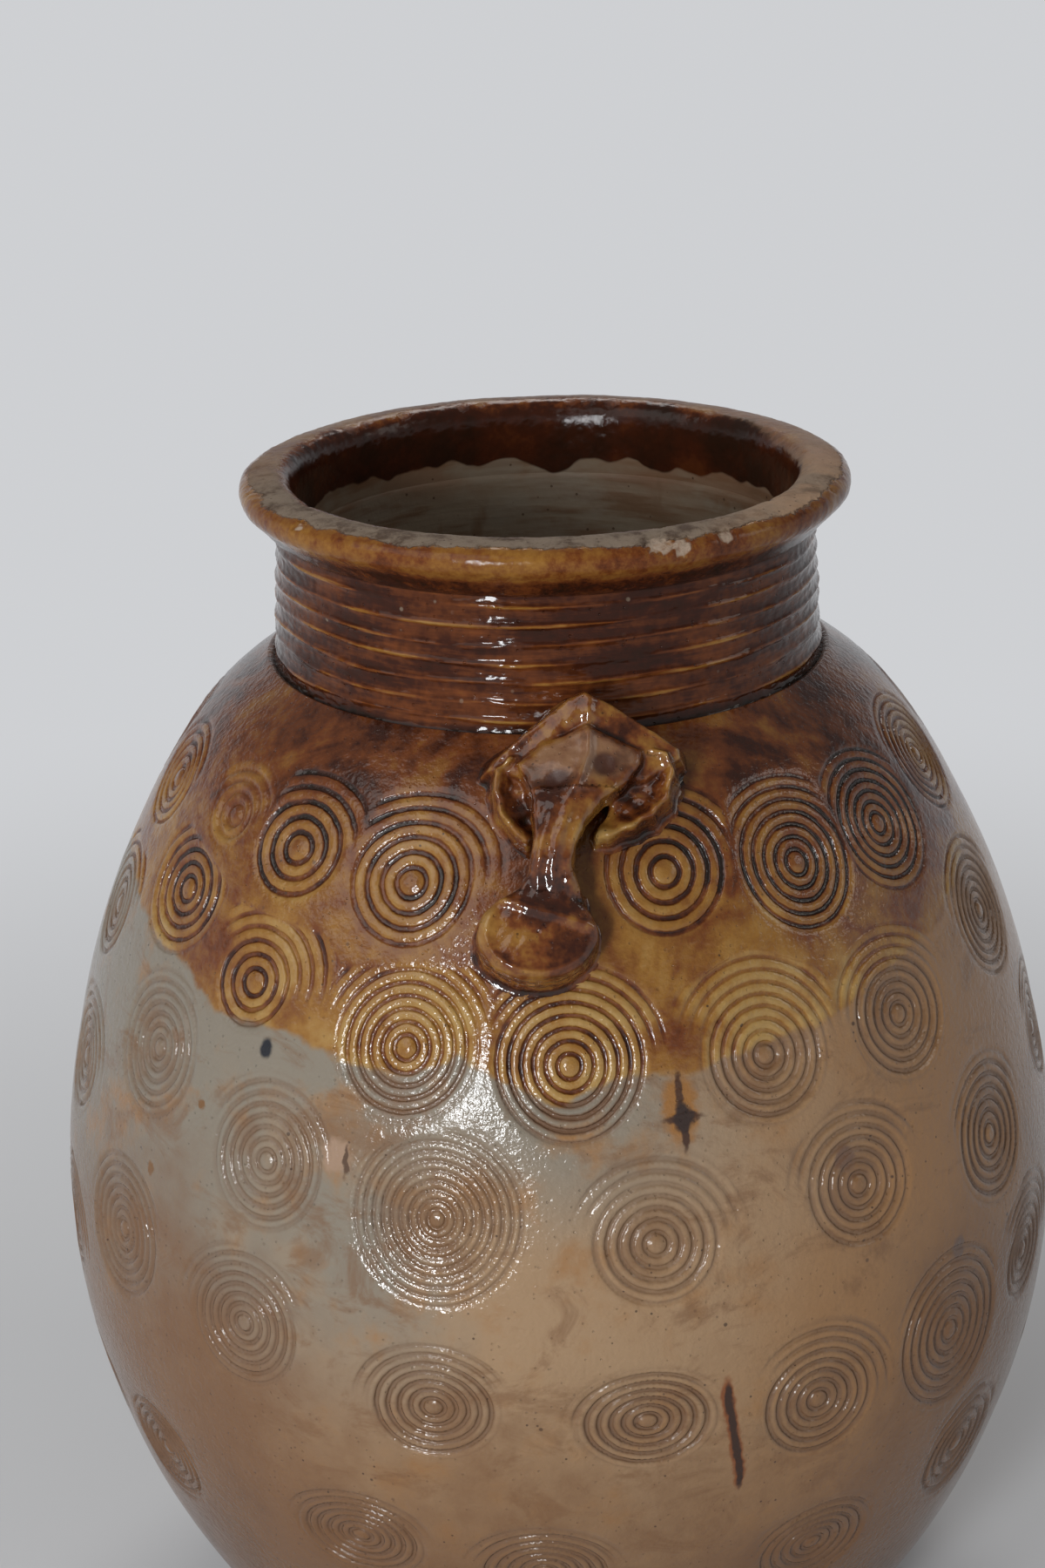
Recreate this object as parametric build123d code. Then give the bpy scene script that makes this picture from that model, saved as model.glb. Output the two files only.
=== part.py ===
from build123d import *
import math
import os

# Martaban storage jar in stoneware, built as a potter builds it: a floor slab, three thrown wall
# sections, a neck collar and a rim band, luted with scarf joints, and two lugs of five pieces each.
# Millimetres. +Z is up, the origin is the centre of the foot, and the front lug faces -Y.

# Body
jar_height = 374.6
foot_radius = 92.0
belly_radius = 152.0
belly_height = 156.0
wall_thickness = 9.0
floor_thickness = 12.0
foot_bevel = 3.0

# Neck
neck_height = 38.0
neck_radius = 77.6
neck_flare = 2.0
mouth_radius = 72.0
groove_width = 2.6
groove_depth = 2.4
ridge_count = 5
ridge_depth = 1.3

# Rim
rim_radius = 88.2
rim_height = 16.6
rim_face_height = 8.0
rim_corner_radius = 1.6
rim_inner_bevel = 3.2
rim_inner_drop = 6.0
rim_dish = 1.6

# How far each scarf joint drops from the outer skin to the inner one
scarf_drop = 6.0

# Lugs. Each is laid out on the plane that touches the wall at lug_height, below the neck.
lug_drop = 24.0
lug_turns = {"front": 0.0, "back": 180.0}
lug_sways = {"front": 12.0, "back": 7.0}

head_width = 46.0
head_length = 34.0
head_chin = 5.0
head_rise = 17.0
head_bedding = 12.0
eye_radius = 3.0
eye_spacing = 13.0
eye_height = 18.0

ear_width = 17.0
ear_length = 26.0
ear_spacing = 33.0
ear_wall = 3.0
ear_height = 14.5
ear_rise = 8.0
ear_cup = 4.0
ear_bedding = 8.0

trunk_length = 34.0
trunk_top = 18.0
trunk_width = 24.0
trunk_thickness = 8.5
cord_gap = 8.5

button_width = 32.0
button_length = 25.0
button_centre = 23.5
button_sway_share = 0.625
button_rise = 10.5
button_edge = 4.2
button_bedding = 8.0

# Roundels: rings pressed into the wet wall with a round stamp
roundel_radius = 17.0
ring_groove_width = 3.2
ring_groove_depth = 1.0

# Outer skin between its ends: (share of the height, share of the swell)
lower_skin_shares = [(0.27, 0.50), (0.58, 0.84)]
upper_skin_shares = [(0.34, 0.11), (0.56, 0.27), (0.74, 0.47), (0.89, 0.69)]
foot_lean_share = 0.78
neck_foot_lean_share = 0.60

# Spans between the points that the inner skin is drawn through
wall_span_count = 5
shoulder_span_count = 6

# Joints between the wall sections, as shares of the skin curve that they cut
base_joint_share = 0.06
lower_joint_share = 0.60
upper_joint_share = 0.28

# Head sections from chin to peak, as shares of the head's
# (length, width, rise for the sides, rise for the crest, bedding)
head_shares = [
    (0.00, 0.48, 0.10, 0.80, 0.80),
    (0.28, 0.78, 0.15, 1.00, 0.90),
    (0.56, 1.00, 0.25, 0.96, 1.00),
    (1.00, 0.08, 0.42, 0.58, 0.20),
]
peak_sway_share = 0.15

# Trunk outline from the forehead to the button: (share of length, share of width, share of sway)
trunk_shares = [
    (0.00, 1.00, 0.50),
    (0.30, 0.80, 0.22),
    (0.55, 0.55, -0.15),
    (0.78, 0.50, -0.34),
    (1.00, 0.72, -0.50),
]

# Middles of a roundel's ring grooves, as shares of its radius
ring_shares = [0.42, 0.92]

# Roundels on the side that the photograph shows, row by row from the top:
# (turn in degrees, share of the neck foot's height, share of the roundel radius)
seen_roundel_shares = [
    (-78, 0.906, 1.00), (-55, 0.916, 0.55), (-40, 0.909, 0.95), (-21, 0.900, 1.00),
    (14, 0.906, 1.00), (34, 0.894, 1.05), (52, 0.897, 1.05), (74, 0.916, 1.00),
    (-59, 0.847, 1.05), (-41, 0.803, 0.90), (-19, 0.778, 1.10), (0, 0.769, 1.15),
    (23, 0.759, 1.05), (43, 0.756, 1.05), (68, 0.784, 1.05),
    (-55, 0.719, 1.05), (-35, 0.666, 1.05), (-14.5, 0.644, 1.35), (8.5, 0.622, 1.05),
    (32.5, 0.634, 1.05), (55, 0.616, 1.05),
    (-58, 0.541, 1.05), (-37, 0.516, 1.05), (-15, 0.475, 1.05), (7, 0.462, 1.05),
    (26, 0.450, 1.05), (45, 0.459, 1.20),
    (-56, 0.312, 1.00), (-25, 0.319, 1.05), (-4, 0.300, 1.05), (28, 0.281, 1.00),
]

# Rows of roundels on the far side, with a gap in the top row for the back lug. None of them
# reaches the seam at +X, where each turned surface begins and ends:
# (first turn, last turn, how many, share of the neck foot's height)
hidden_row_shares = [
    (100, 159, 4, 0.906),
    (202, 262, 4, 0.906),
    (98.5, 280, 10, 0.781),
    (77, 284, 11, 0.644),
    (62, 282, 12, 0.475),
    (52, 284, 11, 0.306),
]

neck_top = jar_height - rim_height
neck_foot = neck_top - neck_height
neck_foot_radius = neck_radius + neck_flare
lug_height = neck_foot - lug_drop


def section_point(radius, height):
    """Point of the jar's cross-section, which stands in the XZ plane."""
    return Vector(radius, 0, height)


def lower_skin():
    """Outer skin from the foot bevel to the widest point."""
    swell = belly_radius - foot_radius
    climb = belly_height - foot_bevel
    middle = [
        section_point(foot_radius + swell_share * swell, foot_bevel + height_share * climb)
        for height_share, swell_share in lower_skin_shares
    ]
    ends = section_point(foot_radius, foot_bevel), section_point(belly_radius, belly_height)
    directions = [section_point(foot_lean_share, 1), section_point(0, 1)]
    return Edge.make_spline([ends[0], *middle, ends[1]], tangents=directions)


def upper_skin():
    """Outer skin from the widest point to the groove at the foot of the neck."""
    shoulder_top = neck_foot_radius + groove_width
    shrink = belly_radius - shoulder_top
    climb = neck_foot - belly_height
    middle = [
        section_point(belly_radius - shrink_share * shrink, belly_height + height_share * climb)
        for height_share, shrink_share in upper_skin_shares
    ]
    ends = section_point(belly_radius, belly_height), section_point(shoulder_top, neck_foot)
    directions = [section_point(0, 1), section_point(-1, neck_foot_lean_share)]
    return Edge.make_spline([ends[0], *middle, ends[1]], tangents=directions)


skins = [lower_skin(), upper_skin()]


def outer_point(place):
    """Point on the outer skin: 0 is the foot, 1 the widest point, 2 the foot of the neck."""
    skin = skins[0] if place <= 1 else skins[1]
    return skin.position_at(place if place <= 1 else place - 1)


def climb_direction(place):
    """Direction of the outer skin, going up."""
    skin = skins[0] if place <= 1 else skins[1]
    return skin.tangent_at(place if place <= 1 else place - 1)


def inner_point(place):
    """Point on the inner skin, one wall thickness behind the outer one."""
    climb = climb_direction(place)
    inward = section_point(-climb.Z, climb.X)
    return outer_point(place) + inward * wall_thickness


def outer_edges(start, end):
    """Outer skin between two places, as one edge for each of the two skins that it runs on."""
    edges = []
    if start < 1:
        edges.append(skins[0].trim(start, min(end, 1)))
    if end > 1:
        edges.append(skins[1].trim(max(start, 1) - 1, end - 1))
    return edges


def places_between(start, end, count):
    """Evenly spaced places, both ends included."""
    return [start + (end - start) * step / count for step in range(count + 1)]


def inner_joint_place(place):
    """Place on the inner skin where the scarf joint that starts outside at place comes out."""
    skin = skins[0] if place <= 1 else skins[1]
    return place - scarf_drop / skin.length


def place_at_height(height):
    """Place on the outer skin that lies at a height, by halving."""
    low, high = 0.0, 2.0
    halving_count = 40
    for _ in range(halving_count):
        middle = (low + high) / 2
        if outer_point(middle).Z < height:
            low = middle
        else:
            high = middle
    return low


def revolved(edges):
    """Solid of revolution about the jar's axis from the closed outline of a cross-section."""
    return revolve(Face(Wire.combine(edges)[0]), axis=Axis.Z)


def straight(*points):
    """Straight edges through the points, in order."""
    return [Edge.make_line(a, b) for a, b in zip(points, points[1:])]


lower_joint = lower_joint_share
upper_joint = 1 + upper_joint_share

# Where the floor meets the inner skin, level with the floor's top
floor_slant = math.hypot(1, foot_lean_share)
floor_corner = section_point(
    foot_radius + foot_lean_share * (floor_thickness - foot_bevel) - wall_thickness * floor_slant,
    floor_thickness,
)
# Where the inner skin of the shoulder meets the bore of the neck
neck_corner = section_point(mouth_radius, neck_foot - wall_thickness)
groove_floor = section_point(neck_foot_radius, neck_foot - groove_depth)


def roundel_places():
    """Turn, place on the outer skin and radius of every roundel."""
    shares = list(seen_roundel_shares)
    for first, last, row_count, height_share in hidden_row_shares:
        step = (last - first) / (row_count - 1)
        shares += [(first + step * number, height_share, 1) for number in range(row_count)]
    return [
        (turn, place_at_height(height_share * neck_foot), radius_share * roundel_radius)
        for turn, height_share, radius_share in shares
    ]


def skin_plane(place):
    """Plane that touches the skin at a place, at the front of the jar: Z outwards, Y up the wall."""
    foot = outer_point(place)
    climb = climb_direction(place)
    outwards = Vector(0, -climb.Z, -climb.X)
    return Plane(origin=(0, -foot.X, foot.Z), x_dir=(1, 0, 0), z_dir=outwards)


def fall_back(place, reach):
    """How far the skin falls behind its touching plane at a distance from a place, on average."""
    skin = skins[0] if place <= 1 else skins[1]
    plane = skin_plane(place)
    foot = outer_point(place)
    above = outer_point(min(place + reach / skin.length, 2))
    below = outer_point(max(place - reach / skin.length, 0))
    beside = foot.X - math.sqrt(foot.X**2 - reach**2)
    along = [-plane.to_local_coords(Vector(0, -point.X, point.Z)).Z for point in (above, below)]
    across = -beside * plane.z_dir.Y
    return (sum(along) / len(along) + across) / 2


def ring_cutter(turn, place, radius):
    """Flat ring that cuts one groove into the skin at its depth all round."""
    skin = skin_plane(place)
    bed = skin.offset(-fall_back(place, radius) - ring_groove_depth)
    band = bed * Circle(radius + ring_groove_width / 2) - bed * Circle(radius - ring_groove_width / 2)
    height = fall_back(place, radius) + 2 * ring_groove_depth
    return Rot(0, 0, turn) * extrude(band, amount=height, dir=bed.z_dir)


def stamped(wall, start, end):
    """The wall section between two places with the rings of its roundels pressed into it."""
    cutters = []
    for turn, place, radius in roundel_places():
        skin = skins[0] if place <= 1 else skins[1]
        margin = (radius + ring_groove_width) / skin.length
        if start - margin < place < end + margin:
            cutters += [ring_cutter(turn, place, share * radius) for share in ring_shares]
    return wall - cutters


def make_base_slab():
    """Floor slab with its bevelled foot, cut off above by the first scarf joint."""
    axis_foot = section_point(0, 0)
    bevel_start = section_point(foot_radius - foot_bevel, 0)
    bevel_end = section_point(foot_radius, foot_bevel)
    axis_top = section_point(0, floor_thickness)
    edges = straight(axis_foot, bevel_start, bevel_end)
    edges += outer_edges(0, base_joint_share)
    edges += straight(outer_point(base_joint_share), floor_corner, axis_top, axis_foot)
    return revolved(edges)


def make_wall(start, end, inner_bottom, inner_top):
    """Wall section from place start to place end, between two scarf joints.

    The inner skin is a smooth curve through points behind the outer one, between its two given ends.
    """
    inner_start = inner_joint_place(start)
    inner_end = inner_joint_place(end)
    places = places_between(inner_start, inner_end, wall_span_count)
    inner_points = [inner_bottom] + [inner_point(place) for place in places[1:-1]] + [inner_top]
    inner_edge = Edge.make_spline(inner_points)
    edges = outer_edges(start, end)
    edges += straight(outer_point(end), inner_top)
    edges.append(inner_edge)
    edges += straight(inner_bottom, outer_point(start))
    return stamped(revolved(edges), start, end)


def make_shoulder():
    """Top wall section. It ends in the groove that the neck collar stands in."""
    places = places_between(inner_joint_place(upper_joint), 2, shoulder_span_count)
    inner_points = [inner_point(place) for place in places[:-1]] + [neck_corner]
    edges = outer_edges(upper_joint, 2)
    edges += straight(outer_point(2), groove_floor, neck_corner)
    edges.append(Edge.make_spline(inner_points))
    edges += straight(inner_points[0], outer_point(upper_joint))
    return stamped(revolved(edges), upper_joint, 2)


def make_neck_collar():
    """Neck with its throwing ridges, from the groove to the underside of the rim."""
    lean = neck_flare / ridge_count
    pitch = neck_height / ridge_count
    valleys = [
        section_point(neck_foot_radius - ridge * lean, neck_foot + ridge * pitch)
        for ridge in range(ridge_count + 1)
    ]
    edges = straight(neck_corner, groove_floor, valleys[0])
    for below, above in zip(valleys, valleys[1:]):
        crest = (below + above) / 2 + section_point(ridge_depth, 0)
        edges.append(Edge.make_three_point_arc(below, crest, above))
    edges += straight(
        section_point(neck_radius, neck_top),
        section_point(mouth_radius, neck_top - scarf_drop),
        neck_corner,
    )
    return revolved(edges)


def make_rim_band():
    """Everted rim: sloping underside, upright face, dished top and a rounded edge into the mouth."""
    seat = section_point(neck_radius, neck_top)
    face_foot = section_point(rim_radius, jar_height - rim_face_height)
    face_top = section_point(rim_radius, jar_height - rim_corner_radius)
    top_outer = section_point(rim_radius - rim_corner_radius, jar_height)
    corner_reach = rim_corner_radius * math.sqrt(0.5)
    corner_middle = section_point(
        rim_radius - rim_corner_radius + corner_reach, jar_height - rim_corner_radius + corner_reach
    )
    top_inner = section_point(mouth_radius + rim_inner_bevel, jar_height - rim_dish)
    bore_top = section_point(mouth_radius, jar_height - rim_dish - rim_inner_drop)
    bore_foot = section_point(mouth_radius, neck_top - scarf_drop)
    edges = straight(seat, face_foot, face_top)
    edges.append(Edge.make_three_point_arc(face_top, corner_middle, top_outer))
    edges += straight(top_outer, top_inner)
    lip_directions = [section_point(-1, -1), section_point(0, -1)]
    edges.append(Edge.make_spline([top_inner, bore_top], tangents=lip_directions))
    edges += straight(bore_top, bore_foot, seat)
    return revolved(edges)


def make_core():
    """The jar filled in, which the lugs are trimmed against."""
    axis_foot = section_point(0, 0)
    edges = straight(axis_foot, section_point(foot_radius, 0), section_point(foot_radius, foot_bevel))
    edges += outer_edges(0, 2)
    edges += straight(
        outer_point(2),
        section_point(neck_foot_radius + ridge_depth, neck_foot),
        section_point(neck_foot_radius + ridge_depth, neck_top),
        section_point(0, neck_top),
        axis_foot,
    )
    return revolved(edges)


lug_place = place_at_height(lug_height)


wall_plane = skin_plane(lug_place)


def on_wall(x, y, rise):
    """Point in the lug's plane: across, up the wall, and out from it."""
    return wall_plane.from_local_coords(Vector(x, y, rise))


def head_section(centre, y, width, side, crest, depth):
    """Arched section of the head, square to the wall and across it."""
    half = width / 2
    corners = [
        on_wall(centre - half, y, side),
        on_wall(centre - half, y, -depth),
        on_wall(centre + half, y, -depth),
        on_wall(centre + half, y, side),
    ]
    arch = Edge.make_three_point_arc(corners[3], on_wall(centre, y, crest), corners[0])
    return Wire.combine(straight(*corners) + [arch])[0]


def make_head(sway):
    """Hood and forehead: a pad with a gabled top, an arched face and two dents for eyes."""
    sections = []
    for length_share, width_share, side_share, crest_share, depth_share in head_shares:
        sections.append(
            head_section(
                sway / 2 + peak_sway_share * sway * length_share,
                head_chin + length_share * head_length,
                head_width * width_share,
                head_rise * side_share,
                head_rise * crest_share,
                head_bedding * depth_share,
            )
        )
    head = Solid.make_loft(sections, ruled=True)
    for side in (-1, 1):
        eye = on_wall(sway / 2 + side * eye_spacing / 2, eye_height, head_rise)
        head -= Pos(eye) * Sphere(eye_radius)
    return head


def oval_pad(across, up, width, length, low, high):
    """Oval pad square to the wall, from one rise to another."""
    foot = Plane(origin=on_wall(across, up, low), x_dir=wall_plane.x_dir, z_dir=wall_plane.z_dir)
    return extrude(foot * Ellipse(width / 2, length / 2), amount=high - low, dir=wall_plane.z_dir)


def rounded_top(pad, radius):
    """The pad with its outermost edge rounded."""
    return fillet(pad.edges().sort_by(Axis(wall_plane.origin, wall_plane.z_dir))[-1], radius)


def make_ear(sway, side):
    """Cupped flap beside the head; side is -1 on the left and 1 on the right."""
    across = sway / 4 + side * ear_spacing / 2
    lobe = rounded_top(
        oval_pad(across, ear_height, ear_width, ear_length, -ear_bedding, ear_rise), ear_wall / 2
    )
    cup_width = ear_width - 2 * ear_wall
    cup_length = ear_length - 2 * ear_wall
    return lobe - oval_pad(across, ear_height, cup_width, cup_length, ear_rise - ear_cup, 2 * ear_rise)


def make_trunk(sway):
    """Strap from the forehead to the button, standing off the wall by the cord gap."""
    foot = trunk_top - trunk_length
    middle = (trunk_top + foot) / 2
    crest = cord_gap + trunk_thickness
    side_plane = Plane(origin=wall_plane.origin, x_dir=wall_plane.y_dir, z_dir=wall_plane.x_dir)
    inner_ends = Vector(trunk_top, 0), Vector(foot, 0)
    outer_ends = Vector(trunk_top + trunk_thickness, 0), Vector(foot - trunk_thickness, 0)
    side_edges = [
        Edge.make_three_point_arc(inner_ends[0], Vector(middle, cord_gap), inner_ends[1]),
        Edge.make_line(inner_ends[1], outer_ends[1]),
        Edge.make_three_point_arc(outer_ends[1], Vector(middle, crest), outer_ends[0]),
        Edge.make_line(outer_ends[0], inner_ends[0]),
    ]
    bent = extrude(side_plane * Face(Wire.combine(side_edges)[0]), amount=trunk_width, both=True)
    left, right = [], []
    for length_share, width_share, sway_share in trunk_shares:
        up = trunk_top + trunk_thickness - length_share * (trunk_length + 2 * trunk_thickness)
        half = trunk_width * width_share / 2
        left.append(Vector(sway * sway_share - half, up))
        right.append(Vector(sway * sway_share + half, up))
    front_edges = [Edge.make_spline(left), Edge.make_line(left[-1], right[-1])]
    front_edges += [Edge.make_spline(right), Edge.make_line(right[0], left[0])]
    front = extrude(wall_plane * Face(Wire.combine(front_edges)[0]), amount=2 * crest, both=True)
    return bent & front


def make_button(sway):
    """Thick oval pad with a rounded edge, which the trunk lands on."""
    across = -button_sway_share * sway
    pad = oval_pad(across, -button_centre, button_width, button_length, -button_bedding, button_rise)
    return rounded_top(pad, button_edge)


def whole(shape):
    """The largest solid of a trimmed piece, without the crumbs that a cut may leave."""
    return shape.solids().sort_by(SortBy.VOLUME)[-1]


def make_lug(sway, core):
    """Five pieces of one lug at the front, each trimmed where it meets the others and the wall."""
    head = whole(make_head(sway) - core)
    button = whole(make_button(sway) - core)
    trunk = whole(make_trunk(sway) - core - head - button)
    ears = {
        name: whole(make_ear(sway, side) - core - head - trunk)
        for name, side in (("left_ear", -1), ("right_ear", 1))
    }
    return {"head": head, "button": button, "trunk": trunk, **ears}


def make_jar():
    """Every piece of the jar by its name."""
    lower_top = inner_point(inner_joint_place(lower_joint))
    belly_top = inner_point(inner_joint_place(upper_joint))
    pieces = {
        "base_slab": make_base_slab(),
        "lower_wall": make_wall(base_joint_share, lower_joint, floor_corner, lower_top),
        "belly_wall": make_wall(lower_joint, upper_joint, lower_top, belly_top),
        "shoulder_wall": make_shoulder(),
        "neck_collar": make_neck_collar(),
        "rim_band": make_rim_band(),
    }
    core = make_core()
    for lug_name, turn in lug_turns.items():
        for piece_name, piece in make_lug(lug_sways[lug_name], core).items():
            pieces[f"{lug_name}_lug_{piece_name}"] = Rot(0, 0, turn) * piece
    return pieces


os.makedirs("parts", exist_ok=True)
for node_name, piece in make_jar().items():
    export_step(piece, f"parts/{node_name}.step")
    print(node_name, round(piece.volume), piece.is_valid)
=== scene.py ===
import math
from typing import NamedTuple

import bpy
import numpy as np
from mathutils import Matrix, Vector
from mathutils.geometry import delaunay_2d_cdt


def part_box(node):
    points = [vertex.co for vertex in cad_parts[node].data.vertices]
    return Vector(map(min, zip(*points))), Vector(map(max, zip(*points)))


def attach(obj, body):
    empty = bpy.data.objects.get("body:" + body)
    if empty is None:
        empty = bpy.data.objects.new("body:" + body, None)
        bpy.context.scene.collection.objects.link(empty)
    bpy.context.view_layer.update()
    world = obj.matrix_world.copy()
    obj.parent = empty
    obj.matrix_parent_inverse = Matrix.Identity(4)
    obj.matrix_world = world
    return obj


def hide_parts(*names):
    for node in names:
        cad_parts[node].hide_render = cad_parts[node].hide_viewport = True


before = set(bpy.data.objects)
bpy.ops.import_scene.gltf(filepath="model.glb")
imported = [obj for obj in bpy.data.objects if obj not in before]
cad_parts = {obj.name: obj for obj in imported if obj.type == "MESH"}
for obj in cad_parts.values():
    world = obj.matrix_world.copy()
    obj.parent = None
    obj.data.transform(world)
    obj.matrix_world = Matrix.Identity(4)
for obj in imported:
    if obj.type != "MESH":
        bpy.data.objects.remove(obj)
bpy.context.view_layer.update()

# Sizes are in millimetres and angles in degrees, except where a comment says otherwise.
# Meshes are written in metres, and materials turn their place back into millimetres.
# An azimuth of 0 faces the front lug, and 90 is to its right.
MM = 0.001
TURN = 2 * math.pi
dice = np.random.default_rng(41)

# Wall: columns of points where sections meet, and the spacings of the other points
border_columns = 840
skin_step = 1.0
skin_smoothing = 5
plain_spacing = 3.2
ring_point_spacing = 1.6
inner_row_spacing = 9.0
seam_spacing = 1.2
# Least gaps of seam points and free points from the rows of points, and of free points from the seam
seam_row_gap = 0.6
free_row_gap = 0.45
free_seam_gap = 0.7
# Least depth of the CAD inner wall below the outer skin, which leaves out the ring grooves
groove_clearance = 3.0
# How far the mouth dips to the front, and the heights between which the dip grows
rim_dip = 1.6
rim_dip_start = 290.0
rim_dip_end = 372.0
wall_sizes = {
    "Groove depth": 0.95, "Dish depth": 0.7,
    "Swell depth": 1.0, "Swell size": 60, "Grit depth": 0.22, "Grit size": 4,
}
# How far the uneven skin lies inside the smooth one on average
skin_inset = 0.5

# Oval of smooth wall that each lug sits on: its turn in radians, its middle's height, its halves
lug_seat_turn = math.radians(-1.2)
lug_seat_height = 294.0
lug_seat_halves = (29.0, 34.0)


class Roundel(NamedTuple):
    """Rings pressed into the wet wall. Beyond full_radius only an arc is left, around arc_turn."""

    azimuth: float
    height: float
    pitch: float
    full_radius: float
    arc_radius: float
    arc_turn: float
    flatness: float
    ink: float


# The roundels that the photograph shows, by row from the neck down:
# azimuth, height, pitch of the rings, radius of the whole rings, radius of the arcs,
# direction of the arcs from upright, height as a share of width, darkness of the grooves
seen_roundels = [
    Roundel(-78, 290, 3.6, 15, 20, 0, 1.0, 0.6),
    Roundel(-55, 293, 3.4, 9, 17, 10, 1.0, 0.15),
    Roundel(-40, 291, 4.5, 15, 24, 15, 1.0, 0.9),
    Roundel(-21, 288, 4.2, 17, 27, 10, 1.0, 0.9),
    Roundel(14, 290, 4.1, 17, 26, 40, 1.0, 1.0),
    Roundel(34, 286, 3.5, 19, 26, -20, 1.0, 1.0),
    Roundel(52, 287, 3.2, 19, 24, -15, 1.0, 0.95),
    Roundel(74, 293, 3.0, 18, 22, 0, 1.0, 0.6),
    Roundel(-59, 271, 3.8, 18, 23, 5, 1.0, 0.75),
    Roundel(-41, 257, 3.9, 13, 29, 20, 1.0, 0.9),
    Roundel(-19, 249, 3.4, 19, 30, 0, 1.0, 0.75),
    Roundel(0, 246, 3.3, 20, 28, 5, 1.0, 1.0),
    Roundel(23, 243, 3.2, 18, 30, 10, 1.0, 0.55),
    Roundel(43, 242, 3.2, 18, 26, -5, 1.0, 0.5),
    Roundel(68, 251, 3.2, 19, 25, 0, 1.0, 0.5),
    Roundel(-55, 230, 3.0, 18, 22, 0, 1.1, 0.25),
    Roundel(-35, 213, 3.0, 18, 24, 5, 1.05, 0.35),
    Roundel(-14.5, 206, 2.6, 24, 27, 0, 1.0, 0.3),
    Roundel(8.5, 199, 3.4, 17, 27, 10, 0.95, 0.4),
    Roundel(32.5, 203, 3.3, 17, 25, -5, 1.0, 0.5),
    Roundel(55, 197, 3.2, 18, 23, 0, 1.1, 0.55),
    Roundel(-58, 173, 3.0, 19, 23, 0, 1.1, 0.3),
    Roundel(-37, 165, 3.0, 18, 25, -10, 1.0, 0.45),
    Roundel(-15, 152, 3.3, 18, 25, -10, 0.82, 0.6),
    Roundel(7, 148, 3.4, 19, 24, -15, 0.72, 0.6),
    Roundel(26, 144, 3.3, 18, 27, 25, 0.95, 0.6),
    Roundel(45, 147, 3.4, 22, 26, 0, 1.1, 0.65),
    Roundel(-56, 100, 3.2, 18, 22, 0, 0.9, 0.5),
    Roundel(-25, 102, 3.3, 19, 25, 0, 0.75, 0.6),
    Roundel(-4, 96, 3.4, 18, 25, 0, 0.75, 0.6),
    Roundel(28, 90, 3.4, 18, 24, 0, 0.8, 0.55),
]


class HiddenRow(NamedTuple):
    """A row of roundels on the side that the photograph doesn't show."""

    first: float
    last: float
    count: int
    height: float
    ink: float


# The back lug stands in the top row's gap, so that row is in two parts
hidden_rows = [
    HiddenRow(100, 159, 4, 290, 0.75),
    HiddenRow(202, 262, 4, 290, 0.75),
    HiddenRow(98.5, 280, 10, 250, 0.7),
    HiddenRow(77, 284, 11, 206, 0.4),
    HiddenRow(62, 282, 12, 152, 0.5),
    HiddenRow(52, 284, 11, 98, 0.5),
]

# Lower edge of the amber glaze: (azimuth, height)
glaze_edge = [
    (-180, 250), (-160, 259), (-140, 247), (-120, 256), (-100, 262), (-79, 264), (-68, 259), (-59, 255),
    (-53, 254), (-46, 247), (-34, 247), (-25, 243), (-18, 242), (-13, 248), (-9, 244), (-1, 236),
    (4, 241), (8, 243), (14, 242), (22, 246), (33, 248), (41, 254), (46, 256), (54, 257),
    (65, 265), (75, 269), (95, 262), (115, 252), (135, 258), (155, 244), (170, 254), (180, 250),
]


def smooth_step(low, high, value):
    """0 below low, 1 above high, and an S curve between them."""
    share = np.clip((value - low) / (high - low), 0, 1)
    return share * share * (3 - 2 * share)


def smoothed(values, reach):
    """The values averaged over their neighbours with a bell curve. Both ends stay where they are."""
    offsets = np.arange(-3 * reach, 3 * reach + 1)
    bell = np.exp(-0.5 * (offsets / reach) ** 2)
    padded = np.pad(values, 3 * reach, mode="reflect", reflect_type="odd")
    return np.convolve(padded, bell / bell.sum(), mode="valid")


def around(radius, azimuth, height):
    """Points at a radius, an azimuth in radians and a height."""
    parts = np.broadcast_arrays(radius * np.sin(azimuth), -radius * np.cos(azimuth), height)
    return np.stack([part.ravel() for part in parts], axis=1).astype(float)


def wrapped(angle):
    """Angles in radians between half a turn back and half a turn on."""
    return (angle + math.pi) % TURN - math.pi


def settled(points):
    """The points after the jar's own unevenness: its mouth dips to the front."""
    moved = points.copy()
    share = smooth_step(rim_dip_start, rim_dip_end, points[:, 2])
    moved[:, 2] -= rim_dip * share * (1 - points[:, 1] / rim_radius) / 2
    return moved


def unit(vectors):
    """The vectors at a length of 1."""
    return vectors / np.maximum(np.linalg.norm(vectors, axis=1, keepdims=True), 1e-9)


def face_crosses(corners):
    """Cross product of two sides of each triangle, from its three corners."""
    return np.cross(corners[:, 1] - corners[:, 0], corners[:, 2] - corners[:, 0])


def mesh_points(mesh):
    """Vertices of a mesh in millimetres."""
    points = np.empty(3 * len(mesh.vertices))
    mesh.vertices.foreach_get("co", points)
    return points.reshape(-1, 3) / MM


def mesh_triangles(mesh):
    """Corners of a mesh that has only triangles."""
    corners = np.empty(len(mesh.loops), int)
    mesh.loops.foreach_get("vertex_index", corners)
    return corners.reshape(-1, 3)


def node_points(name):
    """Vertices of a CAD node in millimetres."""
    return mesh_points(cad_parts[name].data)


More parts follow.
